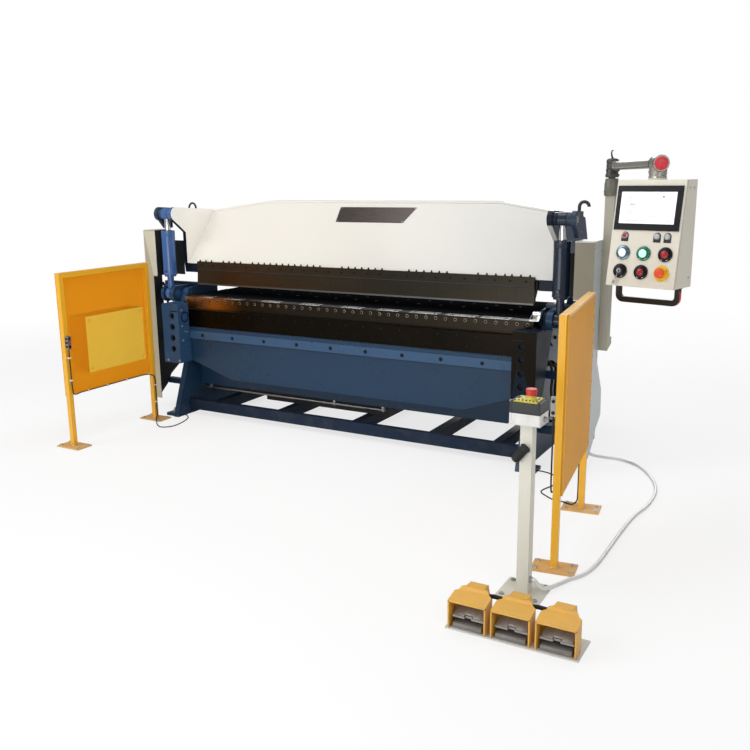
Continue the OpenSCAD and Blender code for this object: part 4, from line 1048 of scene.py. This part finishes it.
# vent slots drawn as near-black strips: painted shade in the slots
vents = Piece("box_vents", "pendant_head", "painted_shade_dark", HEAD)
for i in range(9):
    vents.box((-60, 49.4, 1250 + i * 12), (60, 50.6, 1254 + i * 12))
vents.done()
bezel = on_face("bezel_frame", "bezel_black", 0, 121)
for a, b in (((-149, -95), (149, -67)), ((-149, 69), (149, 95)), ((-149, -67), (-129, 69)),
             ((125, -67), (149, 69))):
    bezel.box((a[0], a[1], 4.6), (b[0], b[1], 7.4), 0.8)
bezel.done()
screen = on_face("screen", "screen_white", 0, 121)
screen.box((-129.4, -67.4, 4.4), (125.4, 69.4, 5.6))
screen.done()
lines = on_face("screen_marks", "mark_grey", 0, 121)
for u, v, w, h in ((-86, 44, 9, 2.6), (-84, 29, 10, 3.6), (-73, 16, 24, 4.2), (-78, -8, 44, 1.6),
                   (-78, -16, 36, 1.6), (-78, -24, 40, 1.6), (66, 48, 9, 7), (63, 14, 8, 2.2),
                   (40, -20, 60, 1.4), (40, -34, 60, 1.4), (0, -54, 210, 1.4)):
    lines.box((u - w / 2, v - h / 2, 5.5), (u + w / 2, v + h / 2, 5.9))
for v in (62, 56):
    lines.box((-141, v - 1.4, 7.2), (-138.5, v + 1.4, 7.6))
lines.done()

# row of small lamps with their tags
for u, mat in ((-92, "lamp_red"), (57, "lamp_silver"), (104, "lamp_silver")):
    piece = on_face("lamp_tag_%d" % u, "black_plastic", u, 240)
    piece.box((-16.5, -25, -0.2), (16.5, 2, 2.4), 0.8)
    piece.ring((0, 0, -0.2), (0, 0, 9), [(0, 16.5), (2.4, 16.5), (2.9, 15.8), (2.9, 12)], 30)
    piece.done()
    piece = on_face("lamp_ring_%d" % u, "plate_steel", u, 240)
    piece.ring((0, 0, 2), (0, 0, 9), [(0, 14.2), (3.2, 14.2), (4.6, 12.8), (6.6, 11.4), (6.6, 9.4)])
    piece.box((-12, -22.5, 0.2), (12, -19.5, 0.7))
    piece.done()
    piece = on_face("lamp_lens_%d" % u, mat, u, 240)
    piece.lathe((0, 0, 6), (0, 0, 9), [(0, 10.4), (2.4, 10.2), (4.4, 8.2), (5.3, 4), (5.5, 0)], 24)
    piece.done()


def push(tag, u, v, ring, lens, lens_radius=17.0, height=13.0):
    """Push button on the panel, with two ticks on its ring."""
    piece = on_face("button_ring_" + tag, ring, u, v)
    piece.ring((0, 0, 5.4), (0, 0, 20),
               [(0, 31.4), (1.2, 31.2), (2.4, 29.4), (2.6, 23.0), (height - 5.6, 21.6),
                (height - 4.6, 20.4), (height - 5.4, lens_radius)], 40)
    piece.done()
    piece = on_face("button_lens_" + tag, lens, u, v)
    piece.lathe((0, 0, height - 1), (0, 0, 30),
                [(0, lens_radius + 0.6), (1.4, lens_radius + 0.4), (2.6, lens_radius - 1.4),
                 (3.2, lens_radius * 0.6), (3.4, 0)], 32)
    piece.done()
    piece = on_face("button_marks_" + tag, "clip_white", u, v)
    for a in (-118, -62):
        t = radians(a)
        c = Vector((26.4 * cos(t), 26.4 * sin(t), 8.1))
        w = Vector((-sin(t), cos(t), 0)) * 4.5
        e = Vector((cos(t), sin(t), 0)) * 1.0
        piece.prism([c - w - e, c + w - e, c + w + e, c - w + e], (0, 0, 0.5))
    piece.done()


push("white", -91, 315, "ring_blue", "lamp_white")
push("green", 5, 315, "lamp_green", "lamp_mint", 17.5)
push("red_one", 104, 315, "bezel_black", "lamp_red", 16)
push("red_two", 3, 395, "bezel_black", "lamp_red", 15)
push("key", -95, 395, "bezel_black", "black_plastic", 16.5, 14)
piece = on_face("key_and_slot", "plate_steel", -95, 395)
piece.ring((0, 0, 15.6), (0, 0, 30), [(0, 10), (2.4, 9.6), (2.6, 4.5)])
piece.box((-1.2, -7, 16), (1.2, 7, 26), 0.3)
piece.tube([(0, -6, 24), (-3, -14, 23), (-8, -26, 19), (-13, -36, 14)], 1.3, 8)
piece.prism([(-9, -34, 15), (-17, -31, 14), (-27, -52, 11), (-25, -58, 10.4), (-18, -60, 10.6),
             (-15, -55, 11.5)], (0.4, -0.4, 1.8), 0.4)
piece.done()
piece = on_face("stop_plate_marks", "black_plastic", 97, 395)
for a in (20, 140, 260):
    t0 = radians(a)
    for i in range(3):
        t = t0 + i * 0.16
        c = Vector((27 * cos(t), 27 * sin(t), 4.9))
        w = Vector((-sin(t), cos(t), 0)) * 1.6
        e = Vector((cos(t), sin(t), 0)) * 0.8
        piece.prism([c - w - e, c + w - e, c + w + e, c - w + e], (0, 0, 0.35))
piece.done()
piece = on_face("stop_plate", "yellow_plastic", 97, 395)
piece.ring((0, 0, 0), (0, 0, 9), [(-0.2, 34), (3.6, 34), (5, 32.8), (5.1, 17), (8.6, 16.4), (9.4, 14.8),
                                  (9.4, 12.3)], 40)
piece.done()
piece = Piece("stop_mushroom", "pendant_button", "orange_red", face(97, 395))
piece.ring((0, 0, 0), (0, 0, 40), [(14.6, 12.7), (14.6, 15), (17, 19.4), (20, 21.2), (25, 21.4),
                                   (28.6, 20), (30.4, 16), (31, 9), (31.1, 0)], 40)
piece.done(50)

# rounded carrying handle in place of the square one
handle = Piece("handle_grip", "pendant_head", "black_plastic", HEAD)
outer_arc, inner_arc = [], []
top, bottom = 1137.5, 1056.5
for cx, a0, a1 in ((1, 0, -90), (-1, -90, -180)):
    for i in range(7):
        t = radians(a0 + (a1 - a0) * i / 6)
        outer_arc.append((cx * (150.5 - 34) + 34 * cos(t), bottom + 34 + 34 * sin(t)))
        inner_arc.append((cx * (127 - 14) + 14 * cos(t), bottom + 25 + 14 + 14 * sin(t)))
outline = [(150.5, top)] + outer_arc + [(-150.5, top), (-127, top)] + inner_arc[::-1] + [(127, top)]
handle.prism([(x, -40, z) for x, z in outline], (0, 24, 0), 3.0)
grip = handle.done(40)
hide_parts("pendant_handle")
accent = Piece("handle_accent", "pendant_head", "cap_red", HEAD)
arc = []
for i in range(9):
    t = radians(2 - 78 * i / 8)
    arc.append(((150.5 - 34) + 34.3 * cos(t), bottom + 34 + 34.3 * sin(t)))
pts = [(151.0, 1120)] + arc
inner = [(x - 3 if i == 0 else 116.5 + (x - 116.5) * 0.9,
          z if i == 0 else bottom + 34 + (z - bottom - 34) * 0.9) for i, (x, z) in enumerate(pts)]
accent.prism([(x, -36, z) for x, z in pts + inner[::-1]], (0, 16, 0), 0.6)
accent.done(40)
feet = Piece("handle_feet", "pendant_head", "black_plastic", HEAD)
for s in (-1, 1):
    feet.box((s * 124, -43, 1134), (s * 153, -13, 1138.2), 1.5)
feet.done()

# stop button stand
stand = Piece("stand_box_seams", "base", "white_plastic")
stand.box((1711, -1998, 742.5), (1829, -1900, 744.4), 0.8)
stand.box((1706.5, -2000.6, 700.5), (1833.5, -1897.4, 704), 1.0)
for s, t in CORNERS:
    stand.cyl((STAND_X + s * 54, STAND_Y + t * 44, 700.4), (STAND_X + s * 54, STAND_Y + t * 44, 744.6),
              7.4, 16)
stand.done()
stand = Piece("stand_lid_corners", "base", "lid_black")
stand.box((1708.5, -1999.4, 745.4), (1831.5, -1898.6, 750), 1.2)
for s, t in CORNERS:
    stand.cyl((STAND_X + s * 53, STAND_Y + t * 42.5, 744.6),
              (STAND_X + s * 53, STAND_Y + t * 42.5, 790.6), 7.6, 16, bev=0.8)
    stand.screw((STAND_X + s * 53, STAND_Y + t * 42.5, 790.2), (0, 0, 1), 4, 1.8)
for i in range(7):
    stand.screw((1727 + i * 14.4, -1985.5, 794.6), (0, 0, 1), 3.6, 2.2)
    stand.screw((1727 + i * 14.4, -1912.5, 794.6), (0, 0, 1), 3.6, 2.2)
for dx, dy, w, h in ((-41, 14, 13, 4), (-41, 4, 13, 4), (-41, -8, 13, 7), (-20, -19, 9, 5),
                     (34, -14, 9, 6), (36, 8, 7, 14)):
    stand.box((STAND_X + dx - w / 2, STAND_Y + dy - h / 2, 794.8),
              (STAND_X + dx + w / 2, STAND_Y + dy + h / 2, 796.2), 0.4)
stand.done()
stand = Piece("stand_stop_collar", "base", "label_yellow")
stand.ring((STOP_X, STAND_Y, 794.8), (STOP_X, STAND_Y, 830),
           [(0, 22), (3, 21.6), (4, 18), (8, 16.6), (9, 12.2)], 32)
stand.done()
stand = Piece("stand_mushroom", "stand_button", "red_plastic")
stand.ring((STOP_X, STAND_Y, 700), (STOP_X, STAND_Y, 840),
           [(110.6, 12.8), (110.6, 14), (121.6, 13.6), (122, 19), (123.4, 21.6), (129.6, 21.8),
            (132.4, 20), (133.6, 15), (133.6, 9), (133, 8), (132.8, 0)], 40)
stand.done(50)
# cable glands, and the bolts of the base plate
stand = Piece("stand_gland", "base", "plate_steel")
stand.lathe((1830, STAND_Y, 722), (1850, STAND_Y, 722), [(0, 11), (5, 11), (6, 9), (14, 8.6), (15, 4)],
            20)
stand.ring((1794, STAND_Y, 60), (1810, STAND_Y, 60), [(0, 14), (3, 14), (4, 12), (9, 11.6), (10, 9.4)],
           24)
for s, t in CORNERS:
    stand.hexbolt((STAND_X + s * 68, STAND_Y + t * 68, 6), (0, 0, 1), 8, 6)
stand.done()
# ribbed grip
GRIP = Matrix.Translation((1754, STAND_Y - 24 - 18, 586)) @ Matrix.Rotation(radians(38), 4, "Y")
ribs = Piece("grip_ribs", "base", "black_rubber", GRIP)
for i in range(9):
    z = -27 + i * 6.6
    ribs.ring((0, 0, z), (0, 0, z + 9), [(0, 16.8), (0.8, 18.6), (3.4, 18.6), (4.2, 16.8)])
ribs.lathe((0, 0, 30), (0, 0, 40), [(0, 17.2), (0.4, 21), (3.6, 21.4), (5.4, 20), (5.4, 12), (4.2, 11),
                                    (4.2, 0)], 32)
ribs.done()
fork = Piece("grip_fork", "base", "elbow_dark", GRIP)
fork.lathe((0, 0, -31), (0, 0, -40), [(0, 15.6), (4, 15.2), (5.5, 13), (5.5, 0)], 24)
fork.done()

# guards
button = [(-0.2, 8.2), (2.2, 8.2), (2.8, 7), (2.8, 0)]
sensor = Piece("left_sensor_face", "base", "black_plastic")
for z in (636, 684):
    sensor.lathe((GUARD_X + 42, -1424.2, z), (GUARD_X + 42, -1430, z), button, 20)
    sensor.lathe((GUARD_X + 54, -1412, z), (GUARD_X + 60, -1412, z), button, 20)
sensor.box((GUARD_X + 31, -1425.4, 653), (GUARD_X + 53, -1423.6, 667), 0.4)
sensor.done()
sensor = Piece("sensor_leds", "base", "led_red")
for z in (652, 668):
    sensor.lathe((GUARD_X + 54, -1412, z), (GUARD_X + 60, -1412, z),
                 [(-0.2, 3.4), (1.4, 3.2), (2.2, 0)], 12)
sensor.done()
clips = Piece("left_cable_clips", "base", "clip_white")
for yy in (-1260, -1100, -930):
    clips.box((GUARD_X + 6, yy - 5, 320), (GUARD_X + 17, yy + 5, 332), 1)
for zz in (420, 560):
    clips.box((GUARD_X + 29.6, -1420, zz), (GUARD_X + 47, -1404, zz + 9), 1)
for zz in (120, 240):
    clips.box((GUARD_X + 29.6, -702, zz), (GUARD_X + 41, -686, zz + 8), 1)
clips.done()
# panel rivets, trim and plate bolts of both guards
LEFT = Matrix.Translation((GUARD_X, GUARD_Y, 0))
RIGHT = Matrix.Translation((RIGHT_X, RIGHT_Y, 0)) @ Matrix.Rotation(RIGHT_TURN, 4, "Z")
rivets = Piece("left_panel_rivets", "base", "plate_steel", LEFT)
for zz in range(345, 1070, 90):
    for yy in (15, 735):
        rivets.lathe((-5, yy, zz), (-9, yy, zz), [(-0.3, 4.4), (0.8, 4.2), (2.0, 2.4), (2.3, 0)], 12)
for zz in (455, 762):
    for yy in (232, 676):
        rivets.screw((-5.2, yy, zz), (1, 0, 0), 5, 3)
rivets.done()
small_rivet = [(-0.3, 3.6), (0.6, 3.4), (1.4, 1.8), (1.6, 0)]
rivets = Piece("right_panel_rivets", "base", "black_oxide", RIGHT)
for i in range(36):
    zz = 338 + i * 20
    rivets.lathe((35, 36, zz), (39, 36, zz), small_rivet, 10)
for yy in range(60, 740, 60):
    rivets.lathe((35, yy, 1066), (39, yy, 1066), small_rivet, 10)
for i in range(12):
    rivets.lathe((35, 735, 345 + i * 62), (39, 735, 345 + i * 62), small_rivet, 10)
rivets.done()
trim = Piece("right_panel_trim", "base", "safety_yellow", RIGHT)
trim.box((30.2, 24, 1066.5), (38, 749, 1080.6), 0.8)
trim.box((30.2, 23.2, 322), (38, 28.5, 1067), 0.8)
trim.done()
sensor = Piece("right_sensor_face", "base", "black_plastic", RIGHT)
for z in (680, 728):
    sensor.lathe((-11, 4, z), (-11, -2, z), [(-0.2, 7.6), (2.2, 7.6), (2.8, 6.4), (2.8, 0)], 20)
sensor.done()
bolts = Piece("guard_plate_bolts", "base", "anchor_zinc")
for guard in (LEFT, RIGHT):
    bolts.place = guard
    for yy in (15, 735):
        for a in (-1, 1):
            bolts.hexbolt((15 + a * 74, yy + 36, 8), (0, 0, 1), 8, 6)
            bolts.hexbolt((15 + a * 74, yy - 36, 8), (0, 0, 1), 8, 6)
        bolts.box((-1.6, yy - 16.6, 7.8), (31.6, yy + 16.6, 10.6), 1)
bolts.done()
# cabinet: seams of the door, lock, barrels and screws
cabinet = Piece("cabinet_trim", "base", "flange_tan", LEFT)
for y0, y1, z0, z1 in ((222, 224, 446, 771), (683, 685, 446, 771), (222, 685, 446, 448),
                       (222, 685, 769, 771)):
    cabinet.box((-151.2, y0, z0), (-149.6, y1, z1))
cabinet.done()
cabinet = Piece("cabinet_lock", "base", "plate_steel", LEFT)
cabinet.lathe((-150, 250, 610), (-160, 250, 610), [(0, 13), (4, 12.6), (5, 10), (5, 0)], 24)
for zz in (470, 750):
    cabinet.cyl((-152, 683, zz - 22), (-152, 683, zz + 22), 5, 12, bev=0.6)
    cabinet.screw((-77, 206.2, zz), (0, -1, 0), 5, 3)
cabinet.cyl((-77, 450, 430.5), (-77, 450, 418), 13, 20, bev=1)
cabinet.done()

# foot switches
blocks = Piece("pedal_lower_blocks", "base", "tread_dark")
for i, side in enumerate(("left", "middle", "right")):
    x0 = PEDAL_X + 22 + i * PEDAL_PITCH
    x1 = x0 + 122
    xm = (x0 + x1) / 2
    blocks.prism([(x0 + 4, PEDAL_Y + 6, 6.2), (x0 + 4, PEDAL_Y + 6, 24), (x0 + 4, PEDAL_Y + 16, 28),
                  (x0 + 4, PEDAL_Y + 100, 28), (x0 + 4, PEDAL_Y + 100, 6.2)], (x1 - x0 - 8, 0, 0), 2)
    treadle = Piece("treadle_top_" + side, "pedal_" + side, "tread_aluminium")
    middle = ((31, 59.2), (60, 74.6), (108, 100.6), (112, 96.6), (112, 60), (31, 49))
    top = ((18, 52.5), (60, 75), (108, 101), (113, 97), (112, 60), (18, 45))
    treadle.prism([(x0 + 4, PEDAL_Y + yy, zz) for yy, zz in top], (xm - 17 - x0 - 4, 0, 0), 1.5)
    treadle.prism([(xm + 17, PEDAL_Y + yy, zz) for yy, zz in top], (x1 - 4 - xm - 17, 0, 0), 1.5)
    treadle.prism([(xm - 17.4, PEDAL_Y + yy, zz) for yy, zz in middle], (34.8, 0, 0), 1.0)
    for j in range(4):
        yy = 58 + j * 11
        zz = 73.6 + j * 5.95
        treadle.prism([(x0 + 16, PEDAL_Y + yy, zz), (x0 + 16, PEDAL_Y + yy + 3, zz + 3.6),
                       (x0 + 16, PEDAL_Y + yy + 5, zz + 2.5)], (x1 - x0 - 32, 0, 0))
    treadle.done()
blocks.done()
rims = Piece("hood_rims", "base", "hood_yellow")
for i in range(3):
    x0 = PEDAL_X + 10 + i * PEDAL_PITCH
    x1 = x0 + 146
    xm = (x0 + x1) / 2
    for xa in (x0 - 0.6, x1 - 5.4):
        rims.box((xa, PEDAL_Y - 1.0, 6.2), (xa + 6, PEDAL_Y + 6, 112), 1)
    rims.box((x0 - 0.6, PEDAL_Y - 1.0, 107), (x1 + 0.6, PEDAL_Y + 6, 113.4), 1)
    rims.box((xm - 35, PEDAL_Y + 82, 139), (xm + 35, PEDAL_Y + 124, 141.6), 1.2)
rims.done()
hoses = Piece("pedal_hoses", "base", "black_rubber")
fittings = Piece("pedal_fittings", "base", "plate_steel")
for i in range(2):
    xm = PEDAL_X + 83 + i * PEDAL_PITCH
    hoses.tube(catmull([(xm + 40, PEDAL_Y + 112, 104), (xm + 62, PEDAL_Y + 112, 108),
                        (xm + 83, PEDAL_Y + 111, 108), (xm + 104, PEDAL_Y + 112, 106),
                        (xm + 126, PEDAL_Y + 112, 101)], 6), 8.5, 12)
    fittings.cyl((xm + 34, PEDAL_Y + 112, 103), (xm + 47, PEDAL_Y + 112, 105), 11.5, 6, bev=0.8)
    fittings.cyl((xm + 119, PEDAL_Y + 112, 102), (xm + 132, PEDAL_Y + 112, 100), 11.5, 6, bev=0.8)
for i in range(3):
    xm = PEDAL_X + 83 + i * PEDAL_PITCH
    for s in (-1, 1):
        fittings.screw((xm + s * 26, PEDAL_Y + 146, 60), (0, 1, 0), 5, 3)
hoses.done()
fittings.done()

# staging, lights
floor_me = DATA.meshes.new("floor")
bm = bmesh.new()
bmesh.ops.create_grid(bm, x_segments=1, y_segments=1, size=30)
bm.to_mesh(floor_me)
bm.free()
floor = DATA.objects.new("floor", floor_me)
bpy.context.scene.collection.objects.link(floor)
floor_mat = DATA.materials.new("floor_pale")
floor_mat.use_nodes = True
tree = floor_mat.node_tree
surface = tree.nodes["Principled BSDF"]
put(surface, Base_Color=(0.90, 0.90, 0.90, 1), Roughness=0.9, Specular_IOR_Level=0.1)
glow = shader(tree, "Emission", Color=(1, 1, 1, 1), Strength=1.0)
ray = shader(tree, "LightPath")
texture = shader(tree, "TexCoord")
distance = shader(tree, "VectorMath")
distance.operation = "LENGTH"
tree.links.new(texture.outputs["Object"], distance.inputs[0])
far = shader(tree, "MapRange", From_Min=2.6, From_Max=6.5, To_Min=0.72, To_Max=1.0)
far.interpolation_type = "SMOOTHSTEP"
tree.links.new(distance.outputs["Value"], far.inputs["Value"])
share = shader(tree, "Math")
share.operation = "MULTIPLY"
tree.links.new(far.outputs[0], share.inputs[1])
blend = shader(tree, "MixShader")
tree.links.new(ray.outputs["Is Camera Ray"], share.inputs[0])
tree.links.new(share.outputs[0], blend.inputs[0])
tree.links.new(surface.outputs[0], blend.inputs[1])
tree.links.new(glow.outputs[0], blend.inputs[2])
tree.links.new(blend.outputs[0], tree.nodes["Material Output"].inputs["Surface"])
floor_me.materials.append(floor_mat)

world = DATA.worlds.new("studio")
bpy.context.scene.world = world
world.use_nodes = True
world_tree = world.node_tree
light = world_tree.nodes["Background"]
put(light, Color=(1, 1, 1, 1), Strength=0.36)
backdrop = shader(world_tree, "Background", Color=(1, 1, 1, 1), Strength=1.0)
world_ray = shader(world_tree, "LightPath")
world_mix = shader(world_tree, "MixShader")
world_tree.links.new(world_ray.outputs["Is Camera Ray"], world_mix.inputs[0])
world_tree.links.new(light.outputs[0], world_mix.inputs[1])
world_tree.links.new(backdrop.outputs[0], world_mix.inputs[2])
world_tree.links.new(world_mix.outputs[0], world_tree.nodes["World Output"].inputs["Surface"])


def area(name, loc, target, size, power, col=(1, 1, 1), depth=None):
    lamp = DATA.lights.new(name, "AREA")
    lamp.shape = "RECTANGLE"
    lamp.size = size
    lamp.size_y = depth or size
    lamp.energy = power
    lamp.color = col
    o = DATA.objects.new(name, lamp)
    o.location = loc
    o.rotation_euler = (Vector(target) - Vector(loc)).to_track_quat("-Z", "Y").to_euler()
    bpy.context.scene.collection.objects.link(o)


area("key_light", (-3.5, -5.0, 4.4), (0, -0.4, 0.8), 3.2, 158)
area("fill_light", (4.6, -4.6, 3.4), (0.6, -0.6, 0.8), 2.6, 66)
area("top_light", (0.2, -0.6, 5.2), (0, -0.3, 0.8), 4.2, 85, depth=2.4)
area("back_light", (0.5, 5.0, 3.6), (0, 0.2, 0.8), 3.4, 110)
area("low_front_light", (0.4, -4.4, 0.7), (0, -0.4, 0.8), 2.4, 26, depth=0.8)

bpy.context.scene.view_settings.view_transform = "Standard"
